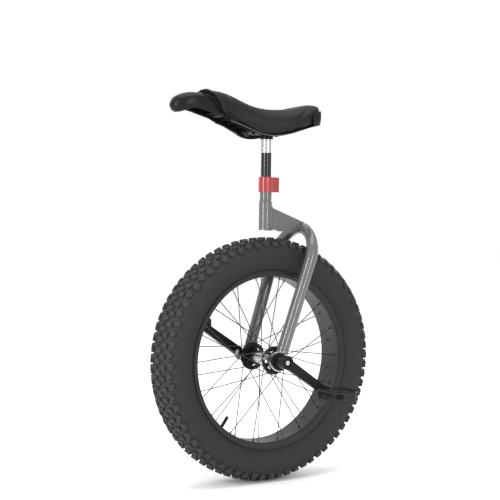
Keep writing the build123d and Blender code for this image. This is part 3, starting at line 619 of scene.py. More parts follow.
# ---------------------------------------------------------------- Geometry Nodes
class Recipe(NodeTree):
    """A Geometry Nodes tree with named inputs."""

    def __init__(self, name: str, inputs: dict[str, str]) -> None:
        """Start a tree.

        Args:
            name: The tree's name.
            inputs: The socket type of each named input.
        """
        super().__init__(bpy.data.node_groups.new(name, "GeometryNodeTree"))
        self.tree.is_modifier = True
        sockets = self.tree.interface
        sockets.new_socket("Geometry", in_out="INPUT", socket_type="NodeSocketGeometry")
        sockets.new_socket("Geometry", in_out="OUTPUT", socket_type="NodeSocketGeometry")
        self.ids = {
            label: sockets.new_socket(label, in_out="INPUT", socket_type="NodeSocket" + kind).identifier
            for label, kind in inputs.items()
        }
        self.source = self.tree.nodes.new("NodeGroupInput")
        self.sink = self.tree.nodes.new("NodeGroupOutput")

    def read(self, label: str) -> bpy.types.NodeSocket:
        """Return a named input's socket inside the tree."""
        return self.source.outputs[label]

    def vector(self, **parts) -> bpy.types.NodeSocket:
        """Return a vector with the given X, Y and Z, each 0 where it is left out."""
        return self.add("ShaderNodeCombineXYZ", parts).outputs[0]

    def scaled(self, vector, factor) -> bpy.types.NodeSocket:
        """Return a vector times a number."""
        node = self.add("ShaderNodeVectorMath", {0: vector, "Scale": factor}, operation="SCALE")
        return node.outputs[0]

    def summed(self, first, second) -> bpy.types.NodeSocket:
        """Return the sum of two vectors."""
        return self.add("ShaderNodeVectorMath", {0: first, 1: second}, operation="ADD").outputs[0]

    def close(self, instances: bpy.types.NodeSocket, keep_source: bool) -> None:
        """End the tree with real, dressed geometry.

        Args:
            instances: The instances that it makes.
            keep_source: Whether what came in goes out too.
        """
        real = self.add("RealizeInstances", {"Geometry": instances}).outputs[0]
        dressed = self.add("SetMaterial", {"Geometry": real, "Material": self.read("Material")}).outputs[0]
        if keep_source:
            joined = self.add("JoinGeometry")
            self.tree.links.new(dressed, joined.inputs[0])
            self.tree.links.new(self.read("Geometry"), joined.inputs[0])
            dressed = joined.outputs[0]
        self.tree.links.new(dressed, self.sink.inputs[0])

    def use(self, piece: bpy.types.Object, **values) -> None:
        """Put the tree on an object.

        Args:
            piece: The object.
            values: A value for each named input, with underscores for spaces.
        """
        modifier = piece.modifiers.new(self.tree.name, "NODES")
        modifier.node_group = self.tree
        for label, value in values.items():
            modifier[self.ids[label.replace("_", " ")]] = value


def row_recipe() -> Recipe:
    """Build the tree that sets blocks in a row round the tyre.

    Returns:
        The recipe, which adds one row to what comes in.
    """
    recipe = Recipe("tread_row", {
        "Count": "Int", "Start": "Float", "Radius": "Float", "Offset": "Float", "Tilt": "Float",
        "Hand": "Float", "Axle": "Float", "Block": "Object", "Material": "Material",
    })
    count = recipe.read("Count")
    points = recipe.add("Points", {"Count": count}).outputs[0]
    share = recipe.math("DIVIDE", recipe.add("InputIndex").outputs[0], count)
    turn = recipe.math("ADD", recipe.math("MULTIPLY", share, 2 * math.pi), recipe.read("Start"))
    cosine, sine = recipe.math("COSINE", turn), recipe.math("SINE", turn)
    radial = recipe.vector(X=cosine, Z=sine)
    onward = recipe.vector(X=recipe.math("MULTIPLY", sine, -1), Z=cosine)
    lift = recipe.vector(Y=recipe.read("Offset"), Z=recipe.read("Axle"))
    place = recipe.summed(recipe.scaled(radial, recipe.read("Radius")), lift)
    lean = recipe.read("Tilt")
    sideways = recipe.vector(Y=recipe.math("SINE", lean))
    out = recipe.summed(recipe.scaled(radial, recipe.math("COSINE", lean)), sideways)
    onward = recipe.scaled(onward, recipe.read("Hand"))
    facing = recipe.add("FunctionNodeAxesToRotation", {0: out, 1: onward},
                        primary_axis="Z", secondary_axis="X")
    placed = recipe.add("SetPosition", {"Geometry": points, "Position": place}).outputs[0]
    block = recipe.add("ObjectInfo", {"Object": recipe.read("Block"), "As Instance": True})
    blocks = recipe.add("InstanceOnPoints", {
        "Points": placed, "Instance": block.outputs["Geometry"], "Rotation": facing.outputs[0],
    })
    recipe.close(blocks.outputs[0], keep_source=True)
    return recipe


def run_recipe() -> Recipe:
    """Build the tree that strings small shapes along a line.

    Returns:
        The recipe, which replaces the line with the shapes.
    """
    recipe = Recipe("shapes_along_line", {
        "Spacing": "Float", "Wobble": "Float", "Seed": "Int", "Shape": "Object", "Material": "Material",
    })
    curve = recipe.add("MeshToCurve", {"Mesh": recipe.read("Geometry")}).outputs[0]
    points = recipe.add("CurveToPoints", {"Curve": curve, "Length": recipe.read("Spacing")}, mode="LENGTH")
    shape = recipe.add("ObjectInfo", {"Object": recipe.read("Shape"), "As Instance": True})
    low = recipe.math("SUBTRACT", 1.0, recipe.read("Wobble"))
    high = recipe.math("ADD", 1.0, recipe.read("Wobble"))
    size = recipe.add("FunctionNodeRandomValue", {2: low, 3: high, "Seed": recipe.read("Seed")},
                      data_type="FLOAT")
    shapes = recipe.add("InstanceOnPoints", {
        "Points": points.outputs["Points"], "Instance": shape.outputs["Geometry"],
        "Rotation": points.outputs["Rotation"], "Scale": size.outputs[1],
    })
    recipe.close(shapes.outputs[0], keep_source=False)
    return recipe


def strung(name: str, lines: Sequence[Sequence[Vector]], closed: bool, shape: bpy.types.Object,
           spacing: float, wobble: float, finish: Finish) -> bpy.types.Object:
    """String a shape along lines.

    Args:
        name: The piece's name.
        lines: Runs of points in the row frame.
        closed: Whether each run returns to its start.
        shape: The object to repeat, lying along its own Z.
        spacing: From one copy to the next.
        wobble: How much the copies differ in size.
        finish: The copies' finish.

    Returns:
        The finished mesh.
    """
    points, edges = [], []
    for line in lines:
        first = len(points)
        points += [tuple(point) for point in line]
        edges += [(first + i, first + i + 1) for i in range(len(line) - 1)]
        if closed:
            edges.append((len(points) - 1, first))
    mesh = bpy.data.meshes.new(name)
    mesh.from_pydata(points, edges, [])
    piece = linked(name, mesh)
    run_recipe().use(piece, Spacing=spacing, Wobble=wobble, Seed=4, Shape=shape, Material=finish.material())
    return settle(piece)


def discard(*pieces: bpy.types.Object) -> None:
    """Remove objects that served as patterns."""
    for piece in pieces:
        bpy.data.objects.remove(piece)


def capsule(name: str, radius: float, length: float) -> bpy.types.Object:
    """Make a small rounded bar along Z.

    Args:
        name: The object's name.
        radius: Its radius.
        length: Its whole length.

    Returns:
        The bar, centred on the origin.
    """
    around = 8
    levels = [(-0.5, 0.02), (-0.42, 0.62), (-0.25, 0.95), (0.0, 1.0), (0.25, 0.95), (0.42, 0.62), (0.5, 0.02)]
    rings = [
        [(radius * wide * math.cos(2 * math.pi * i / around),
          radius * wide * math.sin(2 * math.pi * i / around), length * level)
         for i in range(around)]
        for level, wide in levels
    ]
    return loft(name, np.array(rings))


# ---------------------------------------------------------------- tyre
class BlockShape(Enum):
    """Outlines of tread blocks, in millimetres: X runs round the tyre and -Y towards its side."""

    BAR = ((-7.2, -6.2), (7.2, -6.2), (7.2, 6.0), (-7.2, 6.0))
    HEART = ((0.0, -8.0), (7.6, -0.6), (7.6, 4.6), (3.0, 6.6),
             (0.0, 3.2), (-3.0, 6.6), (-7.6, 4.6), (-7.6, -0.6))
    ANGLE = ((-5.6, -5.4), (5.6, -5.4), (5.6, 5.2), (0.4, 5.2), (-1.6, 2.6), (-5.6, 1.8))
    CHEVRON = ((-2.4, -6.0), (5.4, -4.2), (5.8, 1.8), (0.6, 5.8), (-5.4, 4.6), (-4.0, -0.6))
    STUD = ((-4.2, -3.6), (4.2, -3.6), (4.2, 3.6), (-4.2, 3.6))


@dataclass(frozen=True)
class BlockRow:
    """One row of tread blocks on each side of the tyre."""

    shape: BlockShape
    across: float
    start: float
    count: int = 36
    height: float = 6.3


@dataclass
class Tyre:
    """The fat tyre: a ribbed casing and its tread blocks."""

    half_width: float = 49.3
    middle_radius: float = 246.0
    crown_radius: float = 281.0
    bead_half: float = 38.2
    bead_radius: float = 203.6
    flange_radius: float = 212.0
    roundness: float = 2.35
    wall: float = 3.0
    steps: int = 240
    ribs: tuple[tuple[float, float, float], ...] = ((215.5, 1.1, 1.6), (221.5, 0.45, 0.7), (224.5, 0.45, 0.7),
                                                    (247.0, 0.35, 0.8), (254.0, 0.5, 1.0))
    rows: tuple[BlockRow, ...] = (
        BlockRow(BlockShape.BAR, 41.5, 0.0, height=6.6),
        BlockRow(BlockShape.HEART, 39.2, 5.0, height=6.6),
        BlockRow(BlockShape.ANGLE, 27.0, -1.2),
        BlockRow(BlockShape.ANGLE, 24.0, 3.8),
        BlockRow(BlockShape.CHEVRON, 11.5, 1.4),
        BlockRow(BlockShape.CHEVRON, 13.5, 6.4),
    )
    centre_row: BlockRow = BlockRow(BlockShape.STUD, 0.0, 8.9, count=72, height=6.2)

    def crown_height(self, across: float) -> float:
        """Return the casing's radius at a distance from its middle."""
        share = min(abs(across) / self.half_width, 1.0)
        rise = (1 - share**self.roundness) ** (1 / self.roundness)
        return self.middle_radius + (self.crown_radius - self.middle_radius) * rise

    def side_reach(self, radius: float) -> float:
        """Return the casing's half width at a radius below its widest place."""
        drop = (self.middle_radius - radius) / (self.middle_radius - self.flange_radius)
        reach = self.half_width - (self.half_width - self.bead_half) * drop**2
        return reach + sum(high * math.exp(-((radius - at) / wide) ** 2) for at, high, wide in self.ribs)

    def half_outline(self) -> list[tuple[float, float]]:
        """Return the outside from the bead's foot to the crown, in millimetres."""
        foot = [(self.bead_half, self.bead_radius), (self.bead_half, self.bead_radius + 4.0)]
        side = [(self.side_reach(radius), radius)
                for radius in np.linspace(self.flange_radius, self.middle_radius, 44)]
        crown = []
        for turn in np.linspace(0.05, math.pi / 2, 26):
            across = self.half_width * math.cos(turn) ** (2 / self.roundness)
            crown.append((across, self.crown_height(across)))
        return foot + side + crown

    def casing(self) -> bpy.types.Object:
        """Build the casing, a closed hollow ring.

        Returns:
            The casing.
        """
        right = self.half_outline()
        outside = right + [(-across, radius) for across, radius in reversed(right[:-1])]
        inner_reach = self.bead_half - 5.0
        inside = []
        for turn in np.linspace(math.pi - 0.35, 0.35, 26):
            across = (self.half_width - self.wall) * math.cos(turn)
            depth = (self.crown_radius - self.wall - self.middle_radius) * math.sin(turn)
            inside.append((across, self.middle_radius + depth))
        foot = [(-inner_reach, self.bead_radius), (-inner_reach, self.flange_radius)]
        close = [(inner_reach, self.flange_radius), (inner_reach, self.bead_radius)]
        outline = [(across * MM, radius * MM) for across, radius in outside + foot + inside + close]
        return revolved("tyre_casing", outline, self.steps)

    def block(self, row: BlockRow) -> bpy.types.Object:
        """Build one tread block about its own middle, with its foot sunk in the casing.

        Args:
            row: The row that it is for.

        Returns:
            The block.
        """
        levels = ((-2.0, 1.14), (row.height - 0.7, 1.0), (row.height, 0.91))
        rings = [[(x * wide * MM, y * wide * MM, z * MM) for x, y in row.shape.value] for z, wide in levels]
        block = loft("block_" + row.shape.name.lower(), np.array(rings))
        for polygon in block.data.polygons:
            polygon.use_smooth = False
        return block

    def tread(self) -> bpy.types.Object:
        """Set every row of blocks round the casing.

        Returns:
            The tread.
        """
        recipe = row_recipe()
        tread = new_mesh("tyre_tread", [], [])
        blocks = []
        for row in (*self.rows, self.centre_row):
            block = self.block(row)
            blocks.append(block)
            step = 0.4
            rise = self.crown_height(row.across + step) - self.crown_height(row.across - step)
            tilt = math.atan2(-rise, 2 * step) if row.across else 0.0
            for hand in ((1, -1) if row.across else (1,)):
                start = row.start + (0 if hand > 0 else 2.5)
                recipe.use(tread, Count=row.count, Start=math.radians(start), Hand=float(hand),
                           Radius=self.crown_height(row.across) * MM, Offset=hand * row.across * MM,
                           Tilt=hand * tilt, Axle=AXLE_HEIGHT, Block=block, Material=RUBBER.material())
        settle(tread)
        discard(*blocks)
        return tread

    def build(self) -> None:
        """Make the tyre's pieces and give them to the wheel."""
        put(self.casing(), "wheel", RUBBER, ["tyre"])
        put(self.tread(), "wheel", RUBBER)


# ---------------------------------------------------------------- saddle
def turn_share(turn: float) -> float:
    """Return how far a turn is from level to straight down, from 0 to 1."""
    below = turn - math.pi if turn < 1.5 * math.pi else 2 * math.pi - turn
    if turn < 0:
        below = -turn
    return below / (math.pi / 2)


@dataclass
class Saddle:
    """The padded saddle: cushion, base tray, grab handle, rear bumper, trim, stitches and screws.

    Side outlines are in millimetres, forward from the axle and up from it.
    """

    lower: Track = field(default_factory=lambda: Track(
        (-119, 562), (-112, 558), (-85, 549), (-60, 541), (-30, 530.5), (0, 523.5), (25, 522), (50, 526.5),
        (75, 536.5), (100, 546), (130, 553), (160, 558), (200, 562), (238, 564), (250, 569), (258, 581)))
    upper: Track = field(default_factory=lambda: Track(
        (-119, 603.5), (-112, 606.5), (-100, 606), (-76, 599.8), (-42, 591), (-8, 586.8), (20, 586.8),
        (60, 593.4), (86, 603), (110, 612.5), (135, 621), (155, 624), (170, 621.5), (184, 616), (194, 611)))
    handle_upper: Track = field(default_factory=lambda: Track(
        (100, 592), (135, 603), (165, 609), (191, 612), (215, 612), (235, 606), (250, 596), (258, 583)))
    plan: Track = field(default_factory=lambda: Track(
        (-119, 56), (-112, 66), (-100, 73.5), (-75, 79), (-40, 79), (0, 71.5), (40, 58), (85, 46), (130, 41),
        (180, 39), (212, 37)))
    handle_plan: Track = field(default_factory=lambda: Track(
        (100, 36), (130, 35.5), (180, 34), (212, 32), (235, 26), (248, 18), (255, 9), (258, 2)))
    tail: float = -119.0
    tray_front: float = 152.0
    front: Track = field(default_factory=lambda: Track(
        (0, 118), (60, 129), (142, 143), (245, 151.5), (410, 157), (576, 163.5), (750, 172), (1000, 184)))
    mid_level: float = 0.36
    tuck: float = 0.92
    waist_tuck: float = 0.76
    hollow: float = 0.0175
    flat_from: float = 0.8
    crown: float = 2.5
    tail_square: float = 3.2
    stations: int = 64
    around: int = 56

    # the swelling
    voxel: float = 0.0045
    pressure: float = 4.0
    most_swell: float = 0.0028
    start_inset: float = 0.0022
    frames: int = 20
    stiffness: float = 18.0
    seams: tuple[tuple[float, float, tuple], ...] = (  # depth, half width, and points in millimetres
        (0.0022, 0.0042, ((-78, 596), (-72, 588), (-58, 578), (-46, 566), (-40, 550), (-36, 538))),
        (0.0009, 0.0055, ((118, 606), (112, 596), (108, 584), (98, 572), (88, 560))),
    )

    # the cushion's tail and the band that is left round its hollow
    tail_reach: float = 0.020
    band_height: float = 0.008
    band_reach: float = 0.0012
    band_blend: float = 0.0025

    # the base tray, its ribs and the boss over the bracket
    tray_depth: float = 0.016
    tray_drop: float = 0.001
    tray_wall: float = 0.003
    tray_rim: float = 0.0052
    nose_from: float = 0.86
    nose_rise: float = 0.011
    rib_places: tuple[float, ...] = (-0.088, -0.066, -0.044, 0.078, 0.098, 0.118)
    rib_lift: float = 0.003
    rib_height: float = 0.008
    rib_half: float = 0.001
    rib_margin: float = 0.004
    boss_margin: float = 0.003
    boss_top: float = 0.553
    boss_gap: float = 0.0002

    # the handle, the bumper and the small pieces
    handle_wall: float = 0.0042
    handle_start: float = 0.100
    handle_length: float = 0.1578
    bumper_wall: float = 0.003
    bumper_grow: float = 0.0022
    lip: tuple[float, float, float] = (0.968, -0.0008, 0.0026)  # place along, growth and radius
    # the near-black tube just in front of the lip is a painted shadow line for the gap between cushion and
    # handle: place along, growth and radius
    shadow_line: tuple[float, float, float] = (0.992, -0.0028, 0.0022)
    trim_grow: float = 0.0008
    trim_radius: float = 0.0011
    stitch_along: float = 0.945
    stitch_grow: float = 0.0012
    stitch_radius: float = 0.00045
    stitch_length: float = 0.0030
    stitch_pitch: float = 0.0042
    screw_radius: float = 0.0036
    screw_places: tuple[tuple[float, float], ...] = ((128, 561), (141, 565))

    # ---- shape
    def section(self, turn: float, along: float = 1.0) -> tuple[float, float]:
        """Return a section's sideways and upright shares at a turn round it.

        Args:
            turn: From 0 at the left side, over the top, back to 2 pi.
            along: From 0 at the tail, where the section is squarer, to 1 at the front edge.

        Returns:
            The share of the half width, and the share of the height.
        """
        c, s = math.cos(turn), math.sin(turn)
        power = 2 / (self.crown + self.tail_square * (1 - along) ** 5)
        tuck = self.tuck_at(along)
        if s >= 0:
            return math.copysign(abs(c) ** power, c), self.mid_level + (1 - self.mid_level) * s**power
        fall = turn_share(turn)
        if fall < self.flat_from:
            share = fall / self.flat_from
            return math.copysign(1 - (1 - tuck) * share**1.6, c), self.mid_level * (1 - share)
        inwards = (1 - fall) / (1 - self.flat_from)
        return math.copysign(tuck * inwards, c), 0.0

    def tuck_at(self, along: float) -> float:
        """Return the lower edge's share of the half width, least at the waist."""
        return self.tuck - (self.tuck - self.waist_tuck) * math.exp(-((along - 0.78) / 0.3) ** 2)

    def skin_point(self, along: float, share: float, height: float, grow: float = 0.0) -> tuple:
        """Return a point of the cushion's skin.

        Args:
            along: From 0 at the tail to 1 at the front edge.
            share: Sideways, as a share of the half width.
            height: As a share from the lower edge to the ridge.
            grow: How far outside the skin, in metres.

        Returns:
            The point in the row frame.
        """
        x = self.tail * MM + (float(self.front(height)) - self.tail * MM) * along
        bottom, top = self.lower(x), self.upper(x)
        z = bottom + (top - bottom) * height
        half = float(self.plan(x)) * self.tail_round(x)
        y = half * share
        if grow:
            y += math.copysign(grow, share) * min(1.0, abs(share) * 1.4)
            z += grow * (height - 0.5) * 1.6
        return x - (grow if along < 0.1 else 0.0), y, z + AXLE_HEIGHT

    def tail_round(self, x: float) -> float:
        """Return how far the tail's end narrows, from 0 at its very end to 1."""
        near = min(1.0, max(0.0, (x - self.tail * MM) / self.tail_reach))
        return (1 - (1 - near) ** 2.6) ** 0.5

    def cushion_form(self) -> bpy.types.Object:
        """Build the cushion's closed form.

        Returns:
            The form before it is inflated.
        """
        places = 0.5 - 0.5 * np.cos(np.linspace(0.03, 1, self.stations) * math.pi)
        turns = np.linspace(0, 2 * math.pi, self.around, endpoint=False)
        rings = [[self.skin_point(place, *self.section(turn, place)) for turn in turns] for place in places]
        form = loft("saddle_pad", np.array(rings))
        bevelled = form.modifiers.new("shrink", "DISPLACE")
        bevelled.strength = -self.start_inset
        bevelled.mid_level = 0
        return settle(form)

    def inflate(self, form: bpy.types.Object) -> bpy.types.Object:
        """Swell the cushion by cloth simulation, within a limit.

        Args:
            form: The closed form.

        Returns:
            The swollen cushion.
        """
        remesh = form.modifiers.new("remesh", "REMESH")
        remesh.mode = "VOXEL"
        remesh.voxel_size = self.voxel
        settle(form)
        rest = np.array([vertex.co for vertex in form.data.vertices])
        self.simulate(form)
        after = np.array([vertex.co for vertex in form.data.vertices])
        shift = after - rest
        far = np.linalg.norm(shift, axis=1, keepdims=True)
        shift *= np.minimum(1.0, self.most_swell / np.maximum(far, 1e-9))
        for vertex, place in zip(form.data.vertices, rest + shift):
            vertex.co = place
        for polygon in form.data.polygons:
            polygon.use_smooth = True
        return form

    def simulate(self, form: bpy.types.Object) -> None:
        """Run the cloth simulation and keep its last frame."""
        scene = bpy.context.scene
        cloth = form.modifiers.new("cloth", "CLOTH")
        cloth.settings.use_pressure = True
        cloth.settings.uniform_pressure_force = self.pressure
        cloth.settings.effector_weights.gravity = 0
        cloth.settings.tension_stiffness = self.stiffness
        cloth.point_cache.frame_start, cloth.point_cache.frame_end = 1, self.frames
        for number in range(1, self.frames + 1):
            scene.frame_set(number)
        settle(form)
        scene.frame_set(1)

    def press_seams(self, pad: bpy.types.Object) -> None:
        """Press the sewn lines into the cushion's sides."""
        mesh = pad.data
        co = np.empty(len(mesh.vertices) * 3)
        mesh.vertices.foreach_get("co", co)
        co = co.reshape(-1, 3)
        normals = np.array([vertex.normal for vertex in mesh.vertices])
        depth = np.zeros(len(co))
        for line, deep, wide in self.seam_lines():
            points = np.array(line)[:, [0, 2]]
            nearest = np.full(len(co), 1.0)
            for start, end in zip(points[:-1], points[1:]):
                run = end - start
                share = np.clip(((co[:, [0, 2]] - start) @ run) / (run @ run), 0, 1)
                gap = np.linalg.norm(co[:, [0, 2]] - start - share[:, None] * run, axis=1)
                nearest = np.minimum(nearest, gap)
            on_side = np.clip((np.abs(normals[:, 1]) - 0.15) / 0.3, 0, 1)
            depth += deep * np.exp(-((nearest / wide) ** 2)) * on_side
        mesh.vertices.foreach_set("co", (co - normals * depth[:, None]).ravel())
        mesh.update()

    def hollow_underside(self, pad: bpy.types.Object) -> None:
        """Lift the middle of the cushion's underside into a hollow that the base tray fills."""
        mesh = pad.data
        for vertex in mesh.vertices:
            x, y, z = vertex.co
            bottom = float(self.lower(x)) + AXLE_HEIGHT
            if z > bottom + self.band_height:
                continue
            inside = self.tray_plan(x) + self.band_reach - abs(y)
            share = min(1.0, max(0.0, inside / self.band_blend))
            vertex.co.z = z + self.hollow * share * share * (3 - 2 * share)
        mesh.update()

    def seam_lines(self) -> list[tuple[list[tuple], float, float]]:
        """Return each pressed line on the side, with its depth and half width."""
        return [([(x * MM, 0.0, z * MM + AXLE_HEIGHT) for x, z in points], depth, width)
                for depth, width, points in self.seams]

    def cushion(self) -> None:
        """Make the padded cushion."""
        pad = self.inflate(self.cushion_form())
        smooth = pad.modifiers.new("ease", "SMOOTH")
        smooth.factor, smooth.iterations = 0.5, 6
        subdivided(pad, 2)
        self.press_seams(pad)
        self.hollow_underside(pad)
        put(pad, "seat", SKIN, ["saddle_cover", "saddle_foam"])

    # ---- shells
    def base_tray(self) -> None:
        """Make the ribbed plastic tray under the cushion."""
        rings = []
        for place in np.linspace(0.035, 1.0, 40):
            x = (self.tail + (self.tray_front - self.tail) * place) * MM
            half = float(self.tray_plan(x))
            rise = self.nose_rise * max(0.0, (place - self.nose_from) / (1 - self.nose_from)) ** 1.5
            low = float(self.lower(x)) + AXLE_HEIGHT - self.tray_drop + rise
            top = low + self.tray_depth - rise
            under = top - self.tray_wall
            profile = [(half, low), (half, top), (0.0, top), (-half, top), (-half, low),
                       (self.tray_rim - half, low), (self.tray_rim - half, under), (0.0, under),
                       (half - self.tray_rim, under), (half - self.tray_rim, low)]
            rings.append([(x, y, z) for y, z in profile])
        tray = loft("saddle_base_tray", np.array(rings))
        bevel = tray.modifiers.new("edges", "BEVEL")
        bevel.width, bevel.segments = 0.0008, 2
        settle(tray)
        put(tray, "seat", UNDERSIDE_AND_SHADOW, ["saddle_base"])

    def tray_plan(self, x: float) -> float:
        """Return the tray's half width at a place along the saddle."""
        along = (x / MM - self.tail) / (float(self.front(0)) / MM - self.tail)
        half = float(self.plan(x)) * self.tuck_at(along) * self.tail_round(x) * 0.95
        return min(half, float(self.handle_plan(x)) - 0.005) if x > 0.1 else half

    def tray_ribs(self) -> None:
        """Make the tray's cross ribs and the boss over the bracket."""
        low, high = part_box("saddle_bracket")
        margin = self.boss_margin
        parts = [((low.x - margin, high.x + margin), (low.y - margin, high.y + margin),
                  (high.z + self.boss_gap, AXLE_HEIGHT + self.boss_top))]
        for x in self.rib_places:
            half = self.tray_plan(x) - self.rib_margin
            bottom = float(self.lower(x)) + AXLE_HEIGHT + self.rib_lift
            parts.append(((x - self.rib_half, x + self.rib_half), (-half, half),
                          (bottom, bottom + self.rib_height)))
        ribs = boxes("saddle_tray_ribs", parts, 0.0007)
        put(ribs, "seat", UNDERSIDE_AND_SHADOW)

    def handle_ring(self, x: float, turns: np.ndarray) -> list[tuple]:
        """Return the grab handle's outside at a place along it, from one lower edge to the other."""
        half = float(self.handle_plan(x))
        top = float(self.handle_upper(x))
        low = float(self.handle_edge(x))
        mid = low + 0.45 * (top - low)
        opening = self.handle_opening(x)
        ring = []
        for turn in turns:
            c, s = math.cos(turn), math.sin(turn)
            if s >= 0:
                y = half * math.copysign(abs(c) ** 0.8, c)
                z = mid + (top - mid) * s**0.8
            else:
                share = min(1.0, -s)
                y = math.copysign(opening + (half - opening) * (1 - share**2) ** 0.5, c)
                z = mid - (mid - low) * share
            ring.append((x, y, z + AXLE_HEIGHT))
        return ring

    handle_edge: Track = field(default_factory=lambda: Track(
        (100, 549), (125, 555), (150, 562), (171, 567), (195, 573), (215, 574), (229, 569), (239, 565),
        (250, 568), (256, 576), (258, 580)))

    def handle_opening(self, x: float) -> float:
        """Return the half width of the hollow under the handle."""
        reach = max(0.0, 1 - max(0.0, (x - 0.200) / 0.041) ** 2)
        return max(0.0, float(self.handle_plan(x)) - 0.0035) * reach**0.5

    def handle(self) -> None:
        """Make the moulded grab handle round the nose."""
        steps = 46
        places = [self.handle_start + self.handle_length * math.sin(math.pi / 2 * step / steps)
                  for step in range(steps + 1)]
        turns = np.linspace(-math.pi / 2 + 0.001, 1.5 * math.pi - 0.001, 44)
        rings = [self.handle_ring(place, turns) for place in places]
        points = np.array(rings)
        skin = new_mesh("front_grab_handle", points.reshape(-1, 3), grid_faces(len(places), len(turns)))
        work = bmesh.new()
        work.from_mesh(skin.data)
        bmesh.ops.remove_doubles(work, verts=work.verts, dist=0.0004)
        bmesh.ops.holes_fill(work, edges=[e for e in work.edges if e.is_boundary
                                          and all(v.co.x > 0.2565 for v in e.verts)], sides=0)
        bmesh.ops.recalc_face_normals(work, faces=work.faces)
        work.to_mesh(skin.data)
        work.free()
        outward = sum(polygon.normal.z * polygon.area for polygon in skin.data.polygons)
        if outward < 0:
            skin.data.flip_normals()
        walled(skin, self.handle_wall)
        for polygon in skin.data.polygons:
            polygon.use_smooth = True
        subdivided(skin, 1)
        put(skin, "seat", SHELL, ["front_handle"])

    def bumper(self) -> None:
        """Make the bumper that wraps the tail's lower corner."""
        turns = np.linspace(-0.60 * math.pi, 0.03 * math.pi, 20)
        places = 0.5 - 0.5 * np.cos(np.linspace(0.03, 0.25, 12) * math.pi)
        strips = []
        for place in places:
            strips.append([self.skin_point(place, *self.section(turn, place), grow=self.bumper_grow)
                           for turn in turns])
        left = new_mesh("rear_corner_bumper", np.array(strips).reshape(-1, 3),
                        grid_faces(len(places), len(turns)))
        self.mirror_join(left)
        walled(left, self.bumper_wall)
        subdivided(left, 1)
        put(left, "seat", SHELL, ["rear_bumper"])

    def mirror_join(self, piece: bpy.types.Object) -> None:
        """Add a piece's mirror image across the middle plane."""
        work = bmesh.new()
        work.from_mesh(piece.data)
        copy = bmesh.ops.duplicate(work, geom=work.verts[:] + work.edges[:] + work.faces[:])
        for item in copy["geom"]:
            if isinstance(item, bmesh.types.BMVert):
                item.co.y = -item.co.y
        bmesh.ops.remove_doubles(work, verts=work.verts, dist=0.0006)
        bmesh.ops.recalc_face_normals(work, faces=work.faces)
        work.to_mesh(piece.data)
        work.free()
        outward = sum(face.normal.dot(Vector((face.center.x + 0.06, face.center.y, 0))) * face.area
                      for face in piece.data.polygons)
        if outward < 0:
            piece.data.flip_normals()

    def edge_line(self, height: float, first: float, last: float, grow: float) -> list[Vector]:
        """Return a run of points along the left side of the cushion at one height."""
        turn = math.asin(max(-1.0, min(1.0, height)))
        share, level = self.section(turn)
        return [Vector(self.skin_point(place, share, level, grow)) for place in np.linspace(first, last, 70)]

    def trim(self) -> None:
        """Make the thin edge bead under the cushion, on both sides."""
        runs = [self.edge_line(-0.93, 0.05, 0.995, self.trim_grow)]
        runs.append([Vector((point.x, -point.y, point.z)) for point in runs[0]])
        pieces = [tube(f"trim_{k}", run, self.trim_radius) for k, run in enumerate(runs)]
        put(joined("saddle_edge_trim", pieces), "seat", TRIM)

    def front_line(self, along: float, grow: float) -> list[Vector]:
        """Return the run over the cushion's front edge, from the left side's foot to the right's."""
        line = []
        for turn in np.linspace(-0.36 * math.pi, 1.36 * math.pi, 110):
            share, height = self.section(turn)
            line.append(Vector(self.skin_point(along, share, height, grow)))
        return line

    def piping(self) -> None:
        """Make the rolled lip of the cushion over the handle, and the painted shadow line in front of it: a
        near-black tube that stands for the shade in the gap to the handle.
        """
        for name, (along, grow, radius), points, slot, finish in (
                ("saddle_front_lip", self.lip, 14, "saddle_skin", SKIN),
                ("saddle_front_joint", self.shadow_line, 12, "saddle_plastic", UNDERSIDE_AND_SHADOW)):
            put(tube(name, self.front_line(along, grow), radius, points), "seat", finish)

    def stitches(self) -> None:
        """Make the stitches along the cushion's front edge."""
        stitch = capsule("stitch", self.stitch_radius, self.stitch_length)
        lines = []
        for hand in (1, -1):
            front = []
            for turn in np.linspace(-0.2, math.pi / 2, 40):
                share, height = self.section(turn)
                x, y, z = self.skin_point(self.stitch_along, share, height, self.stitch_grow)
                front.append(Vector((x, hand * y, z)))
            lines.append(front)
        thread = strung("saddle_stitches", lines, False, stitch, self.stitch_pitch, 0.05, THREAD)
        discard(stitch)
        put(thread, "seat", THREAD)

    def screws(self) -> None:
        """Make the screws that hold the handle."""
        pieces = []
        for x, z in self.screw_places:
            y = float(self.handle_plan(x * MM)) - 0.0005
            for hand in (1, -1):
                pieces.append(pan_screw((x * MM, hand * y, z * MM + AXLE_HEIGHT), hand, self.screw_radius))
        put(joined("handle_screws", pieces), "seat", SLOT_FINISHES["bolt_black"])

    def build(self) -> None:
        """Make the saddle's pieces and give them to the seat."""
        self.cushion()
        self.base_tray()
        self.tray_ribs()
        self.handle()
        self.bumper()
        self.trim()
        self.piping()
        self.stitches()
        self.screws()


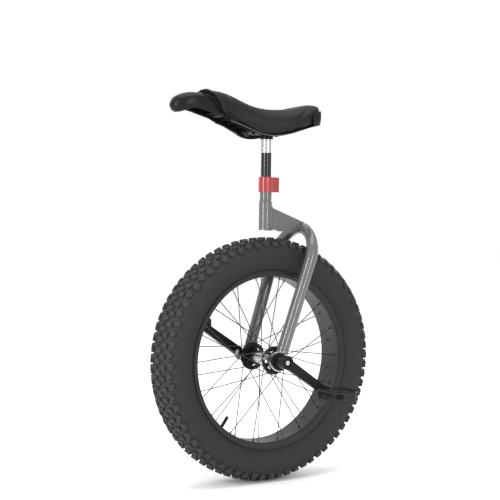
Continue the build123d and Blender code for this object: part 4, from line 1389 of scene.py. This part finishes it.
# ---------------------------------------------------------------- frame details
@dataclass
class FrameDetails:
    """Weld beads on the frame."""

    bead_radius: float = 0.0022
    bead_length: float = 0.0026
    spacing: float = 0.0015
    wobble: float = 0.12

    def build(self) -> None:
        """String weld beads round the place where the seat tube and the arm meet."""
        bead = capsule("bead", self.bead_radius, self.bead_length)
        welds = strung("frame_weld_beads", [self.seat_tube_line()], True, bead, self.spacing,
                       self.wobble, WELD)
        discard(bead)
        put(welds, "frame", WELD)

    def seat_tube_line(self) -> list[Vector]:
        """Return the run of the weld where the arm's box meets the seat tube."""
        low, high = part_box("crown_arm")
        tube_low, tube_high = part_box("seat_tube")
        radius = (tube_high.y - tube_low.y) / 2
        half = (high.y - low.y) / 2
        x = -math.sqrt(max(radius**2 - half**2, 0.0))
        top, bottom = high.z, tube_low.z + 0.001
        line = [Vector((x, half, z)) for z in np.linspace(bottom, top, 24)]
        turns = np.linspace(math.asin(half / radius), -math.asin(half / radius), 16)
        line += [Vector((-radius * math.cos(turn), radius * math.sin(turn), top)) for turn in turns[1:-1]]
        line += [Vector((x, -half, z)) for z in np.linspace(top, bottom, 24)]
        line += [Vector((-radius * math.cos(turn), -radius * math.sin(turn), bottom)) for turn in turns[1:-1]]
        return line


# ---------------------------------------------------------------- stage
@dataclass(frozen=True)
class Softbox:
    """An area light that faces a target."""

    name: str
    place: tuple[float, float, float]
    size: tuple[float, float]
    power: float
    target: tuple[float, float, float] = (0.0, 0.0, 0.45)

    def build(self) -> None:
        """Put the light in the scene."""
        light = bpy.data.lights.new(self.name, "AREA")
        light.shape = "RECTANGLE"
        light.size, light.size_y = self.size
        light.energy = self.power
        lamp = linked(self.name, light)
        away = Vector(self.place) - Vector(self.target)
        facing = away.to_track_quat("Z", "Y").to_matrix().to_4x4()
        lamp.matrix_world = Matrix.Translation(Vector(self.place)) @ facing


@dataclass
class Studio:
    """The camera, the lights and the floor."""

    camera_place: tuple[float, float, float] = (1.34051, 2.08585, 0.29452)
    heading: float = 1.01379573
    pitch: float = 0.01548591
    roll: float = 0.01569695
    lens: float = 75.335
    sky: float = 1.03

    def camera(self) -> None:
        """Make the camera."""
        data = bpy.data.cameras.new("camera")
        data.lens, data.sensor_width = self.lens, 36.0
        back = Vector((math.cos(self.pitch) * math.cos(self.heading),
                       math.cos(self.pitch) * math.sin(self.heading), math.sin(self.pitch)))
        right = Vector((-math.sin(self.heading), math.cos(self.heading), 0))
        up = back.cross(right)
        cosine, sine = math.cos(self.roll), math.sin(self.roll)
        right, up = cosine * right + sine * up, cosine * up - sine * right
        turned = Matrix((right, up, back)).transposed().to_4x4()
        eye = linked("camera", data)
        place = Vector(self.camera_place) + Vector((0, 0, AXLE_HEIGHT))
        eye.matrix_world = Matrix.Translation(place) @ turned
        bpy.context.scene.camera = eye

    def around(self, turn: float, distance: float, height: float) -> tuple[float, float, float]:
        """Return a place at a turn, in degrees, from the camera's own direction."""
        angle = self.heading + math.radians(turn)
        return distance * math.cos(angle), distance * math.sin(angle), height

    def lights(self) -> None:
        """Make the soft studio lights and the pale surroundings."""
        for name, place, size, power in (
                ("left_strip", self.around(-42, 3.0, 1.15), (0.22, 2.0), 42),
                ("right_strip", self.around(30, 3.0, 1.15), (0.16, 2.0), 26),
                ("top_panel", (0.3, 0.3, 3.2), (2.2, 2.2), 38),
                ("rear_panel", self.around(150, 3.0, 1.6), (1.2, 1.6), 22)):
            Softbox(name, place, size, power).build()
        world = bpy.data.worlds.new("studio")
        world.use_nodes = True
        background = world.node_tree.nodes["Background"]
        background.inputs["Color"].default_value = (1, 1, 1, 1)
        background.inputs["Strength"].default_value = self.sky
        bpy.context.scene.world = world

    def floor(self) -> None:
        """Make the plain pale floor."""
        size = 30.0
        ground = new_mesh("floor", [(-size, -size, 0), (size, -size, 0), (size, size, 0), (-size, size, 0)],
                          [(0, 1, 2, 3)], smooth=False)
        wiring = Wiring("floor_pale")
        wiring.shader.inputs["Base Color"].default_value = (0.985, 0.985, 0.985, 1)
        wiring.shader.inputs["Roughness"].default_value = 0.8
        wiring.shader.inputs["Specular IOR Level"].default_value = 0.1
        ground.data.materials.append(wiring.material)

    def build(self) -> None:
        """Make the whole stage."""
        bpy.context.scene.view_settings.view_transform = "Standard"
        self.camera()
        self.lights()
        self.floor()


# ---------------------------------------------------------------- all of it
def dress_nodes() -> None:
    """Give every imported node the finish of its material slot."""
    for part in frame["record"]["subparts"]:
        node = NODES[part["node"]]
        node.data.materials.clear()
        node.data.materials.append(SLOT_FINISHES[part["material_slot"]].material())
        log.info("%s is finished in %s", part["node"], part["material_slot"])


def main() -> None:
    """Build the stage, the finishes and every sub-assembly."""
    Studio().build()
    dress_nodes()
    Tyre().build()
    Saddle().build()
    FrameDetails().build()


if __name__ == "__main__":
    main()
